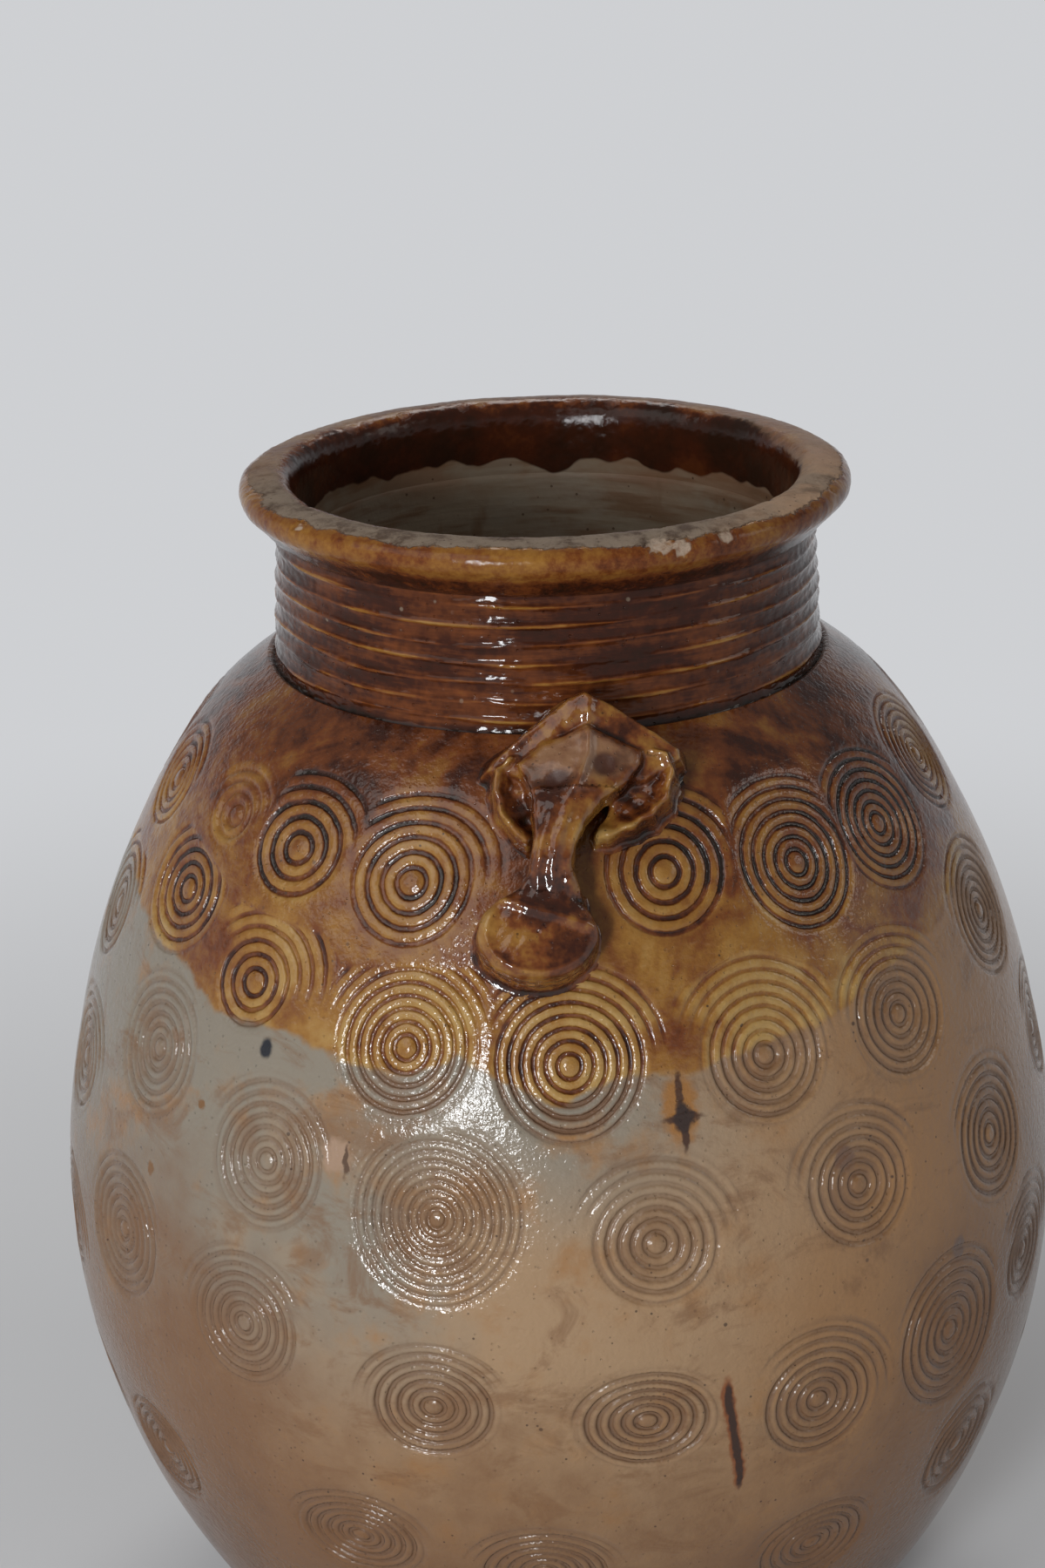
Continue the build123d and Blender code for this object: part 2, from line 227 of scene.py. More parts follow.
def outermost(rows):
    """The rows of a bulging skin that no line between two others passes outside."""
    kept = []
    for row in rows:
        while len(kept) > 1:
            last, before = kept[-1] - kept[-2], row - kept[-2]
            if last[0] * before[1] > last[1] * before[0]:
                break
            kept.pop()
        kept.append(row)
    return np.array(kept)


def skin_rows(name, side):
    """(radius, height) rows of a CAD wall's outer skin, or with side -1 of its inner one."""
    triangles = node_points(name)[mesh_triangles(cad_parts[name].data)]
    across = unit(face_crosses(triangles))
    middle = triangles.mean(axis=1)
    radial = np.einsum("ij,ij->i", across[:, :2], middle[:, :2]) / np.hypot(middle[:, 0], middle[:, 1])
    on_skin = (side * radial > 0.35) & (side * across[:, 2] > -0.66)
    points = triangles[on_skin].reshape(-1, 3)
    radius = np.hypot(points[:, 0], points[:, 1])
    if side < 0:
        outer = outer_rows[name]
        deep = radius < np.interp(points[:, 2], outer[:, 1], outer[:, 0]) - groove_clearance
        points, radius = points[deep], radius[deep]
    heights, places = np.unique(np.round(points[:, 2], 1), return_inverse=True)
    if side > 0:
        widest = np.zeros(len(heights))
        np.maximum.at(widest, places, radius)
        return outermost(np.column_stack([widest, heights]))
    sums = np.bincount(places, weights=radius)
    return np.column_stack([sums / np.bincount(places), heights])


def resampled(rows, step, smoothing):
    """Rows at even steps along a skin, smoothed where smoothing isn't 0."""
    lengths = np.hypot(*np.diff(rows, axis=0).T)
    along = np.concatenate([[0], np.cumsum(lengths)])
    count = max(2, int(round(along[-1] / step)) + 1)
    marks = np.linspace(0, along[-1], count)
    columns = [np.interp(marks, along, rows[:, axis]) for axis in (0, 1)]
    if smoothing:
        columns = [smoothed(column, smoothing) for column in columns]
    return np.column_stack(columns)


def node_corner(name):
    """Least radius and least height of a turned CAD node."""
    points = node_points(name)
    return np.hypot(points[:, 0], points[:, 1]).min(), points[:, 2].min()


wall_slots = {"lower_wall": "pale_glaze", "belly_wall": "pale_glaze", "shoulder_wall": "amber_glaze"}
wall_names = list(wall_slots)
outer_rows = {name: skin_rows(name, 1) for name in wall_names}
inner_rows = {name: skin_rows(name, -1) for name in wall_names}
neck_corner = np.column_stack(node_corner("neck_collar"))
inner_rows["shoulder_wall"] = np.concatenate([inner_rows["shoulder_wall"], neck_corner])
rim_radius = float(np.hypot(*node_points("rim_band")[:, :2].T).max())

# The whole outer skin. A point's place is its length along the skin from the foot, and its reach is
# that length summed over the radius, so that a map of azimuth and reach keeps the skin's angles.
skin = resampled(np.concatenate([outer_rows[name] for name in wall_names]), skin_step, skin_smoothing)
top_radius, top_height = skin[-1]
# Rounded upper edge, as steps right and up from the skin's top
skin_top = [(-0.9, -0.15), (-1.7, -0.6), (-2.2, -1.3), (-2.5, -2.2)]
skin = np.concatenate([skin, [(top_radius + right, top_height + up) for right, up in skin_top]])
skin_radius, skin_height = skin.T
skin_place = np.concatenate([[0], np.cumsum(np.hypot(*np.diff(skin, axis=0).T))])
mean_radius = (skin_radius[1:] + skin_radius[:-1]) / 2
skin_reach = np.concatenate([[0], np.cumsum(np.diff(skin_place) / mean_radius)])
rounding_place = skin_place[-1 - len(skin_top)]


def place_of_height(height):
    """Place on the outer skin at a height."""
    rising = slice(0, -len(skin_top))
    return float(np.interp(height, skin_height[rising], skin_place[rising]))


def radius_at(place):
    """Radius of the outer skin."""
    return np.interp(place, skin_place, skin_radius)


def hidden_roundels():
    """Roundels on the unseen side, each with its own slight differences."""
    made = []
    for row in hidden_rows:
        for azimuth in np.linspace(row.first, row.last, row.count):
            made.append(
                Roundel(
                    azimuth + dice.uniform(-0.7, 0.7),
                    row.height + dice.uniform(-1.5, 1.5),
                    dice.uniform(3.0, 4.0),
                    dice.uniform(15, 19),
                    dice.uniform(22, 27),
                    dice.uniform(-25, 25),
                    dice.uniform(0.85, 1.05),
                    row.ink * dice.uniform(0.7, 1.2),
                )
            )
    return made


roundels = seen_roundels + hidden_roundels()
roundel_azimuth = np.radians([one.azimuth for one in roundels])
roundel_place = np.array([place_of_height(one.height) for one in roundels])
roundel_table = np.array([one[2:] for one in roundels])


def ring_points(index):
    """Azimuths and places of points on one roundel's rings, close enough to shape each groove."""
    one = roundels[index]
    fractions = (0, 0.18, 0.5, 0.82)
    ring_count = int(one.arc_radius / one.pitch)
    radii = [one.pitch * (ring + fraction) for ring in range(ring_count + 1) for fraction in fractions][1:]
    azimuths, places = [np.array([roundel_azimuth[index]])], [np.array([roundel_place[index]])]
    for number, radius in enumerate(radii):
        count = max(24, int(TURN * radius / ring_point_spacing))
        turns = TURN * (np.arange(count) + 0.5 * (number % 2)) / count
        place = roundel_place[index] + radius * np.cos(turns) * one.flatness
        azimuths.append(roundel_azimuth[index] + radius * np.sin(turns) / radius_at(place))
        places.append(place)
    return np.concatenate(azimuths), np.concatenate(places)


def plain_points():
    """Points of the smooth skin between the roundels."""
    azimuths, places = [], []
    for number, place in enumerate(np.arange(plain_spacing, rounding_place - 1, plain_spacing)):
        count = int(TURN * radius_at(place) / plain_spacing)
        turns = TURN * (np.arange(count) + 0.5 * (number % 2)) / count
        azimuths.append(turns + dice.uniform(-0.15, 0.15, count) * TURN / count)
        places.append(place + dice.uniform(-0.15, 0.15, count) * plain_spacing)
    return np.concatenate(azimuths), np.concatenate(places)


def nearest_roundel(azimuth, place):
    """For each point: the nearest roundel, its distance, direction, and lead over the next one."""
    owner = np.empty(len(azimuth), int)
    distance, turn, lead = (np.empty(len(azimuth)) for _ in range(3))
    flatness = roundel_table[:, 4]
    for start in range(0, len(azimuth), 20000):
        part = slice(start, start + 20000)
        radius = radius_at(place[part])[:, None]
        right = wrapped(azimuth[part][:, None] - roundel_azimuth) * radius
        up = (place[part][:, None] - roundel_place) / flatness
        reach = np.hypot(right, up)
        order = np.argpartition(reach, 1, axis=1)[:, :2]
        pair = np.take_along_axis(reach, order, axis=1)
        first = np.take_along_axis(order, pair.argmin(axis=1)[:, None], axis=1)
        owner[part] = first[:, 0]
        distance[part] = pair.min(axis=1)
        lead[part] = pair.max(axis=1) - pair.min(axis=1)
        turn[part] = np.degrees(
            np.arctan2(np.take_along_axis(right, first, axis=1), np.take_along_axis(up, first, axis=1))
        )[:, 0]
    return owner, distance, turn, lead


def skin_points():
    """Azimuths and places of every free point of the outer skin."""
    azimuths, places = [], []
    for index in range(len(roundels)):
        azimuth, place = ring_points(index)
        azimuth = wrapped(azimuth)
        owner = nearest_roundel(azimuth, place)[0]
        azimuths.append(azimuth[owner == index])
        places.append(place[owner == index])
    azimuth, place = plain_points()
    azimuth = wrapped(azimuth)
    owner, distance, _, _ = nearest_roundel(azimuth, place)
    table = roundel_table[owner]
    covered = table[:, 0] * (1 + np.floor(table[:, 2] / table[:, 0]))
    azimuths.append(azimuth[distance > covered])
    places.append(place[distance > covered])
    return np.concatenate(azimuths), np.concatenate(places)


def triangulated(azimuth, place):
    """Triangles between points of the skin."""
    reach = np.interp(place, skin_place, skin_reach)
    flat = [Vector(pair) for pair in zip(azimuth.tolist(), reach.tolist())]
    _, _, faces, origins, _, _ = delaunay_2d_cdt(flat, [], [], 0, 1e-7)
    named = np.array([origin[0] for origin in origins])
    return named[np.array([face for face in faces if len(face) == 3])]


def border_places():
    """Places of the rings of points where wall sections meet, and the outermost ones."""
    return [0.0] + [place_of_height(outer_rows[name][-1, 1]) for name in wall_names[:2]] + [skin_place[-1]]


def make_skin():
    """The whole outer skin: azimuths, places, triangles, and for each wall its triangles and borders."""
    columns = -math.pi + TURN * np.arange(border_columns + 1) / border_columns
    borders = border_places()
    rounding = list(skin_place[-1 - len(skin_top) : -1])
    full_rows = borders + rounding
    seam_places = np.arange(plain_spacing / 2, rounding_place - 1, seam_spacing)
    seam_places = seam_places[np.min(np.abs(seam_places[:, None] - full_rows), axis=1) > seam_row_gap]

    free_azimuth, free_place = skin_points()
    gap = np.min(np.abs(free_place[:, None] - np.array(full_rows)), axis=1)
    side = math.pi - np.abs(free_azimuth)
    inside = (free_place > 0) & (free_place < rounding_place) & (gap > free_row_gap)
    free = inside & (side * radius_at(free_place) > free_seam_gap)

    azimuth = [np.tile(columns, len(full_rows)), np.full(len(seam_places), -math.pi)]
    azimuth += [np.full(len(seam_places), math.pi), free_azimuth[free]]
    place = [np.repeat(full_rows, len(columns)), seam_places, seam_places, free_place[free]]
    azimuth, place = np.concatenate(azimuth), np.concatenate(place)

    # The points at the end of the turn are the same as those at its start
    same = np.arange(len(azimuth))
    for row in range(len(full_rows)):
        same[row * len(columns) + border_columns] = row * len(columns)
    seam_start = len(full_rows) * len(columns)
    seam_count = len(seam_places)
    seam = np.arange(seam_start, seam_start + seam_count)
    same[seam + seam_count] = seam

    sections = {}
    for number, name in enumerate(wall_names):
        low, high = borders[number], borders[number + 1]
        chosen = np.flatnonzero((place >= low - 1e-6) & (place <= high + 1e-6))
        triangles = same[chosen[triangulated(azimuth[chosen], place[chosen])]]
        rings = [np.arange(border_columns) + (number + end) * len(columns) for end in (0, 1)]
        sections[name] = triangles, rings
    return azimuth, place, sections


class Recipe:
    """Short ways of adding nodes to one tree. All but node and feed give the new node's output."""

    def __init__(self, tree):
        self.tree = tree

    def node(self, kind, inputs=None, **settings):
        made = self.tree.nodes.new(kind)
        for name, value in settings.items():
            setattr(made, name, value)
        for key, value in (inputs or {}).items():
            self.feed(made.inputs[key], value)
        return made

    def feed(self, socket, value):
        if isinstance(value, bpy.types.NodeSocket):
            self.tree.links.new(value, socket)
        else:
            socket.default_value = value

    def math(self, operation, *values, clamp=False):
        inputs = dict(enumerate(values))
        return self.node("ShaderNodeMath", inputs, operation=operation, use_clamp=clamp).outputs[0]

    def add(self, *values):
        total = values[0]
        for value in values[1:]:
            total = self.math("ADD", total, value)
        return total

    def times(self, *values):
        total = values[0]
        for value in values[1:]:
            total = self.math("MULTIPLY", total, value)
        return total

    def swing(self, noise, reach):
        """Noise as a number about 0 that swings over a reach."""
        return self.times(self.math("SUBTRACT", noise, 0.5), reach)

    def most(self, *values):
        total = values[0]
        for value in values[1:]:
            total = self.math("MAXIMUM", total, value)
        return total

    def scaled(self, place, level, upright):
        """Place scaled by one number along the level directions and by another upright."""
        return self.vector("MULTIPLY", place, (level, level, upright))

    def vector(self, operation, *values):
        made = self.node("ShaderNodeVectorMath", dict(enumerate(values)), operation=operation)
        return made.outputs["Value" if operation in ("DOT_PRODUCT", "LENGTH") else "Vector"]

    def step(self, value, low, high, to_low=0.0, to_high=1.0):
        """to_low where value is low, to_high where it is high, and an S curve between."""
        inputs = {"Value": value, "From Min": low, "From Max": high, "To Min": to_low, "To Max": to_high}
        return self.node("ShaderNodeMapRange", inputs, interpolation_type="SMOOTHSTEP").outputs[0]

    def mix(self, share, low, high):
        """Colour between low and high."""
        made = self.node("ShaderNodeMix", data_type="RGBA")
        for index, value in ((0, share), (6, low), (7, high)):
            self.feed(made.inputs[index], self.colour(value))
        return made.outputs[2]

    def colour(self, value):
        return (*value, 1.0) if isinstance(value, tuple) and len(value) == 3 else value

    def number(self, share, low, high):
        """Number between low and high."""
        made = self.node("ShaderNodeMix", data_type="FLOAT")
        for index, value in ((0, share), (2, low), (3, high)):
            self.feed(made.inputs[index], value)
        return made.outputs[0]

    def noise(self, place, size, detail=2.0, roughness=0.5, distortion=0.0):
        """Noise about 0.5, with features of a size."""
        inputs = {"Vector": place, "Scale": 1 / size, "Detail": detail}
        inputs |= {"Roughness": roughness, "Distortion": distortion}
        return self.node("ShaderNodeTexNoise", inputs).outputs[0]

    def cells(self, place, size, output):
        """Scattered cells of a size."""
        inputs = {"Vector": place, "Scale": 1 / size}
        return self.node("ShaderNodeTexVoronoi", inputs).outputs[output]

    def attribute(self, name):
        return self.node("ShaderNodeAttribute", attribute_name=name).outputs["Fac"]

    def place(self):
        """Place on the jar in millimetres."""
        where = self.node("ShaderNodeTexCoord").outputs["Object"]
        scale = (1 / MM, 1 / MM, 1 / MM)
        return self.node("ShaderNodeMapping", {"Vector": where, "Scale": scale}).outputs[0]

    def parts(self, place):
        return self.node("ShaderNodeSeparateXYZ", {0: place}).outputs


def geometry_tree(name, sizes):
    """New Geometry Nodes tree with one named input for each size."""
    tree = bpy.data.node_groups.new(name, "GeometryNodeTree")
    tree.interface.new_socket("Geometry", in_out="INPUT", socket_type="NodeSocketGeometry")
    for size_name in sizes:
        tree.interface.new_socket(size_name, in_out="INPUT", socket_type="NodeSocketFloat")
    tree.interface.new_socket("Outside", in_out="INPUT", socket_type="NodeSocketMaterial")
    tree.interface.new_socket("Inside", in_out="INPUT", socket_type="NodeSocketMaterial")
    tree.interface.new_socket("Geometry", in_out="OUTPUT", socket_type="NodeSocketGeometry")
    return tree


def named_number(recipe, name):
    """A number that the mesh carries, in a Geometry Nodes tree."""
    return recipe.node("GeometryNodeInputNamedAttribute", {"Name": name}).outputs[0]


def named_choice(recipe, name):
    """A yes or no that the mesh carries, in a Geometry Nodes tree."""
    return recipe.node("GeometryNodeInputNamedAttribute", {"Name": name}, data_type="BOOLEAN").outputs[0]


def push_out(recipe, geometry, rise):
    """Geometry moved along its normals by rise millimetres."""
    normal = recipe.node("GeometryNodeInputNormal").outputs[0]
    inputs = {0: normal, "Scale": recipe.times(rise, MM)}
    move = recipe.node("ShaderNodeVectorMath", inputs, operation="SCALE").outputs[0]
    inputs = {"Geometry": geometry, "Offset": move}
    return recipe.node("GeometryNodeSetPosition", inputs).outputs[0]


def end_tree(recipe, geometry, given):
    """Real geometry with the outside's material, and the inside's on the faces that are inside."""
    real = recipe.node("GeometryNodeRealizeInstances", {"Geometry": geometry}).outputs[0]
    outside = {"Geometry": real, "Material": given.outputs["Outside"]}
    dressed = recipe.node("GeometryNodeSetMaterial", outside).outputs[0]
    inside = {"Geometry": dressed, "Material": given.outputs["Inside"]}
    inside["Selection"] = named_choice(recipe, "inside")
    dressed = recipe.node("GeometryNodeSetMaterial", inside).outputs[0]
    recipe.node("NodeGroupOutput", {0: dressed})


def hand_unevenness(recipe, swell_depth, swell_size, grit_depth, grit_size):
    """Place in millimetres, and the slow swells and fine grit of a hand-made surface there."""
    where = recipe.node("GeometryNodeInputPosition").outputs[0]
    place = recipe.node("ShaderNodeVectorMath", {0: where, "Scale": 1 / MM}, operation="SCALE").outputs[0]
    waves = []
    for depth, size, detail in ((swell_depth, swell_size, 1.0), (grit_depth, grit_size, 2.0)):
        noise = recipe.noise(place, 1.0, detail=detail)
        recipe.feed(noise.node.inputs["Scale"], recipe.math("DIVIDE", 1.0, size))
        waves.append(recipe.swing(noise, depth))
    return place, recipe.add(*waves)


def roundel_tree():
    """Presses rings into a skin that carries each point's count of rings and how far they show."""
    sizes = ["Groove depth", "Dish depth", "Swell depth", "Swell size", "Grit depth", "Grit size"]
    tree = geometry_tree("press roundels", sizes)
    recipe = Recipe(tree)
    given = recipe.node("NodeGroupInput")
    rings = named_number(recipe, "rings")
    wave = recipe.math("COSINE", recipe.times(rings, TURN))
    groove = recipe.math("POWER", recipe.math("MULTIPLY_ADD", wave, 0.5, 0.5), 1.5)
    groove = recipe.times(groove, recipe.step(rings, 0.3, 0.7), named_number(recipe, "shown"))
    pressed = recipe.times(groove, given.outputs["Groove depth"])
    dished = recipe.times(named_number(recipe, "dished"), given.outputs["Dish depth"])
    _, uneven = hand_unevenness(recipe, *(given.outputs[size] for size in sizes[2:]))
    uneven = recipe.times(recipe.math("SUBTRACT", uneven, skin_inset), named_number(recipe, "free"))
    rise = recipe.math("SUBTRACT", uneven, recipe.add(pressed, dished))
    end_tree(recipe, push_out(recipe, given.outputs["Geometry"], rise), given)
    return tree


def ridge_tree():
    """Throws ridges round a collar, and keeps how near each point is to a crest."""
    sizes = ["Ridge pitch", "Ridge depth", "Waver", "Swell depth", "Swell size", "Grit depth", "Grit size"]
    tree = geometry_tree("throw ridges", sizes)
    recipe = Recipe(tree)
    given = recipe.node("NodeGroupInput")
    place, uneven = hand_unevenness(recipe, *(given.outputs[size] for size in sizes[3:]))
    height = recipe.parts(place)["Z"]
    slow = recipe.noise(recipe.scaled(place, 1, 3), 45.0, detail=1.0)
    wavering = recipe.add(height, recipe.swing(slow, given.outputs["Waver"]))
    turns = recipe.math("DIVIDE", wavering, given.outputs["Ridge pitch"])
    wave = recipe.math("ABSOLUTE", recipe.math("SINE", recipe.times(turns, math.pi)))
    crest = recipe.math("POWER", recipe.math("SUBTRACT", 1.0, wave), 2.2)
    worn = recipe.noise(recipe.scaled(place, 1, 6), 40.0)
    crest = recipe.times(crest, recipe.step(worn, 0.3, 0.6, 0.35, 1.0))
    rise = recipe.add(recipe.times(crest, given.outputs["Ridge depth"]), uneven)
    rise = recipe.times(rise, named_number(recipe, "free"))
    store = {"Geometry": given.outputs["Geometry"], "Name": "crest", "Value": crest}
    kept = recipe.node("GeometryNodeStoreNamedAttribute", store, data_type="FLOAT", domain="POINT").outputs[0]
    end_tree(recipe, push_out(recipe, kept, rise), given)
    return tree


def mesh_of(name, points, faces, numbers=None, choices=None):
    """Smooth mesh in metres, with numbers on its points and choices on its faces."""
    mesh = bpy.data.meshes.new(name)
    mesh.from_pydata((points * MM).tolist(), [], faces.tolist(), shade_flat=False)
    for key, values in (numbers or {}).items():
        mesh.attributes.new(key, "FLOAT", "POINT").data.foreach_set("value", np.asarray(values, np.float32))
    for key, values in (choices or {}).items():
        mesh.attributes.new(key, "BOOLEAN", "FACE").data.foreach_set("value", np.asarray(values, bool))
    return mesh


def evaluated(mesh, tree, sizes, outside, inside):
    """Plain mesh that a Geometry Nodes tree makes of a mesh."""
    carrier = bpy.data.objects.new(mesh.name, mesh)
    bpy.context.scene.collection.objects.link(carrier)
    modifier = carrier.modifiers.new(tree.name, "NODES")
    modifier.node_group = tree
    given = {key: float(value) for key, value in sizes.items()}
    given |= {"Outside": outside, "Inside": inside}
    for item in tree.interface.items_tree:
        if item.in_out == "INPUT" and item.name in given:
            modifier[item.identifier] = given[item.name]
    bpy.context.view_layer.update()
    ready = carrier.evaluated_get(bpy.context.evaluated_depsgraph_get())
    plain = bpy.data.meshes.new_from_object(ready)
    bpy.data.objects.remove(carrier)
    return plain


def point_normals(points, triangles):
    """Smooth normal at each point."""
    across = face_crosses(points[triangles])
    normals = np.zeros_like(points)
    for corner in range(3):
        for axis in range(3):
            normals[:, axis] += np.bincount(triangles[:, corner], across[:, axis], len(points))
    return unit(normals)


def face_normals(points, triangles):
    """Normal of each triangle."""
    return unit(face_crosses(points[triangles]))


def put(name, mesh, slot, *replaced):
    """Piece in the scene that stands for CAD nodes."""
    piece = bpy.data.objects.new(name, mesh)
    bpy.context.scene.collection.objects.link(piece)
    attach(piece, "root")
    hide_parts(*replaced)


def ring_band(low, high):
    """Triangles between two rings of points, facing right of the way up."""
    next_low, next_high = np.roll(low, -1), np.roll(high, -1)
    return np.concatenate([np.stack([low, next_low, next_high], 1), np.stack([low, next_high, high], 1)])


def skin_numbers(azimuth, place):
    """What the outer skin carries at each point for its shape and its colours."""
    owner, distance, turn, lead = nearest_roundel(azimuth, place)
    pitch, full, arc, arc_turn, _, ink = roundel_table[owner].T
    way = np.radians(turn)
    wobble = 1 + 0.025 * np.sin(2 * way + owner) + 0.008 * np.sin(3 * way + 3 * owner)
    rings = distance * wobble / pitch
    off_arc = np.abs((turn - arc_turn + 180) % 360 - 180)
    whole_rings = 1 - smooth_step(full - 1.5, full + 2, distance)
    arcs = (1 - smooth_step(45, 85, off_arc)) * (1 - smooth_step(arc - 3, arc + 1, distance)) * 0.8
    shown = np.maximum(whole_rings, arcs) * smooth_step(0, 3.5, lead)
    top_share = 1 - smooth_step(rounding_place - 14, rounding_place - 6, place)
    shown = shown * top_share
    dished = (1 - smooth_step(0.2, 1, distance / full)) * top_share
    height = np.interp(place, skin_place, skin_height)
    edge = np.interp(np.degrees(azimuth), *np.array(glaze_edge).T)
    right = wrapped(azimuth + lug_seat_turn) * radius_at(place)
    right_behind = wrapped(azimuth + lug_seat_turn + math.pi) * radius_at(place)
    right = np.where(np.abs(right) < np.abs(right_behind), right, right_behind)
    off_lug = np.hypot(right / lug_seat_halves[0], (height - lug_seat_height) / lug_seat_halves[1])
    below_top = 1 - smooth_step(rounding_place - 3, rounding_place, place)
    return {
        "rings": rings,
        "shown": shown,
        "dished": dished,
        "ink": shown * ink,
        "above_edge": height - edge,
        "free": smooth_step(0, 25, place) * below_top * smooth_step(1.0, 1.35, off_lug),
    }


def make_walls(outside, inside):
    """Three wall sections, each a closed shell with its share of the pressed outer skin."""
    azimuth, place, sections = make_skin()
    points = around(radius_at(place), azimuth, np.interp(place, skin_place, skin_height))
    triangles = np.concatenate([part for part, _ in sections.values()])
    numbers = skin_numbers(azimuth, place)
    choices = {"inside": np.zeros(len(triangles))}
    plain = mesh_of("outer_skin", points, triangles, numbers, choices)
    pressed = evaluated(plain, roundel_tree(), wall_sizes, outside[wall_names[0]], inside)
    pressed = settled(mesh_points(pressed))
    normals = point_normals(pressed, triangles)
    columns = azimuth[sections[wall_names[0]][1][0]]
    for name, (section, rings) in sections.items():
        rows = resampled(inner_rows[name], inner_row_spacing, 0)[::-1]
        hidden = settled(around(rows[:, :1], columns[None, :], rows[:, 1:]))
        used, corners = np.unique(section, return_inverse=True)
        numbering = np.full(len(points), -1)
        numbering[used] = np.arange(len(used))
        loop = [numbering[rings[1]]]
        loop += [len(used) + row * border_columns + np.arange(border_columns) for row in range(len(rows))]
        loop.append(numbering[rings[0]])
        joints = np.concatenate([ring_band(loop[0], loop[1]), ring_band(loop[-2], loop[-1])])
        lining = np.concatenate([ring_band(low, high) for low, high in zip(loop[1:-2], loop[2:-1])])
        shell_points = np.concatenate([pressed[used], hidden])
        shell = np.concatenate([corners.reshape(-1, 3), joints, lining])
        carried = {key: np.pad(values[used], (0, len(hidden))) for key, values in numbers.items()}
        mesh = mesh_of(name, shell_points, shell, carried)
        mesh.materials.append(outside[name])
        mesh.materials.append(inside)
        behind = np.concatenate([np.zeros(len(section)), np.ones(len(joints) + len(lining))])
        mesh.polygons.foreach_set("material_index", behind.astype(np.int32))
        lining_normals = point_normals(shell_points, lining)
        corner_normals = np.concatenate(
            [
                normals[section].reshape(-1, 3),
                np.repeat(face_normals(shell_points, joints), 3, axis=0),
                lining_normals[lining].reshape(-1, 3),
            ]
        )
        mesh.normals_split_custom_set(corner_normals.tolist())
        put(f"{name}_glazed", mesh, wall_slots[name], name)


# Neck and rim. Their outlines run up the outside, over the top and down the inside.
ring_columns = 560
bore_radius = 72.0
neck_seat_depth = 2.4
neck_foot_spread = 1.7
neck_corner_drop = 9.0
scarf_drop = 6.0
lip_roll = 3.8
row_spacing = 0.55
bore_spacing = 2.0
# Corners of the outlines that are sharper than this stay sharp
sharp_corner = 48
neck_sizes = {
    "Ridge pitch": 5.3, "Ridge depth": 0.8, "Waver": 3.6,
    "Swell depth": 0.8, "Swell size": 30, "Grit depth": 0.3, "Grit size": 2.5,
}
rim_sizes = {
    "Ridge pitch": 40, "Ridge depth": 0, "Waver": 0,
    "Swell depth": 0.9, "Swell size": 22, "Grit depth": 0.45, "Grit size": 2.2,
}


def turned_loop(name, rows, numbers, inside_rows, sizes, outside, inside):
    """Closed turned mesh from the rows of its cross-section, finished by the throwing tree."""
    azimuth = TURN * np.arange(ring_columns) / ring_columns
    points = around(rows[:, :1], azimuth[None, :], rows[:, 1:])
    rings = [row * ring_columns + np.arange(ring_columns) for row in range(len(rows))]
    bands = [ring_band(low, high) for low, high in zip(rings, rings[1:] + rings[:1])]
    carried = {key: np.repeat(values, ring_columns) for key, values in numbers.items()}
    behind = np.repeat(inside_rows, [len(band) for band in bands])
    plain = mesh_of(name, points, np.concatenate(bands), carried, {"inside": behind})
    return evaluated(plain, ridge_tree(), sizes, outside, inside)


def reshaped(mesh, points):
    """The mesh with its vertices at new points, and its real corners left sharp."""
    mesh.vertices.foreach_set("co", (points * MM).ravel())
    mesh.set_sharp_from_angle(angle=math.radians(sharp_corner))
    mesh.update()
    return mesh


def make_neck(outside, inside):
    """Collar with throwing ridges outside, and fainter ones in its bore under the lining's glaze."""
    rows = skin_rows("neck_collar", 1)
    (foot_radius, foot_height), (top, top_z) = rows[0], rows[-1]
    rise = np.linspace(0, 1, int((top_z - foot_height) / row_spacing))
    wall_z = foot_height + (top_z - foot_height) * rise
    spread = neck_foot_spread * np.exp(-(wall_z - foot_height) / neck_foot_spread)
    wall = np.column_stack([foot_radius + (top - foot_radius) * rise + spread, wall_z])
    bore_top, bore_foot = top_z - scarf_drop, foot_height - neck_corner_drop
    bore_z = np.linspace(bore_top, bore_foot, int((bore_top - bore_foot) / bore_spacing))
    bore = np.column_stack([np.full(len(bore_z), bore_radius), bore_z])
    outline = np.concatenate([[(foot_radius, foot_height - neck_seat_depth)], wall, bore])
    wall_free = smooth_step(0, 0.05, rise) * (1 - smooth_step(0.97, 1, rise))
    bore_free = 0.3 * smooth_step(0, 4, np.minimum(bore_top - bore_z, bore_z - bore_foot))
    free = np.concatenate([[0], wall_free, bore_free])
    behind = np.arange(len(outline)) > len(wall)
    mesh = turned_loop("neck", outline, {"free": free}, behind, neck_sizes, outside, inside)
    put("neck_collar_glazed", reshaped(mesh, settled(mesh_points(mesh))), "dark_glaze", "neck_collar")


class Chip(NamedTuple):
    """Flake knocked off the rim: its azimuth, distance from the axis, height, size and depth."""

    azimuth: float
    radius: float
    height: float
    size: float
    depth: float


seen_chips = [
    Chip(19, 86.5, 374, 5.0, 1.0),
    Chip(23, 87.5, 372, 4.0, 0.9),
    Chip(32, 87.5, 373, 3.2, 0.8),
    Chip(-52, 87.5, 374, 3.0, 0.9),
    Chip(-61, 75.0, 373, 4.0, 0.8),
    Chip(5, 75.0, 373, 3.0, 0.7),
]
hidden_chip_count = 26
hidden_chip_height = 373.5
rim_edge_radii = [75.0, 87.4]


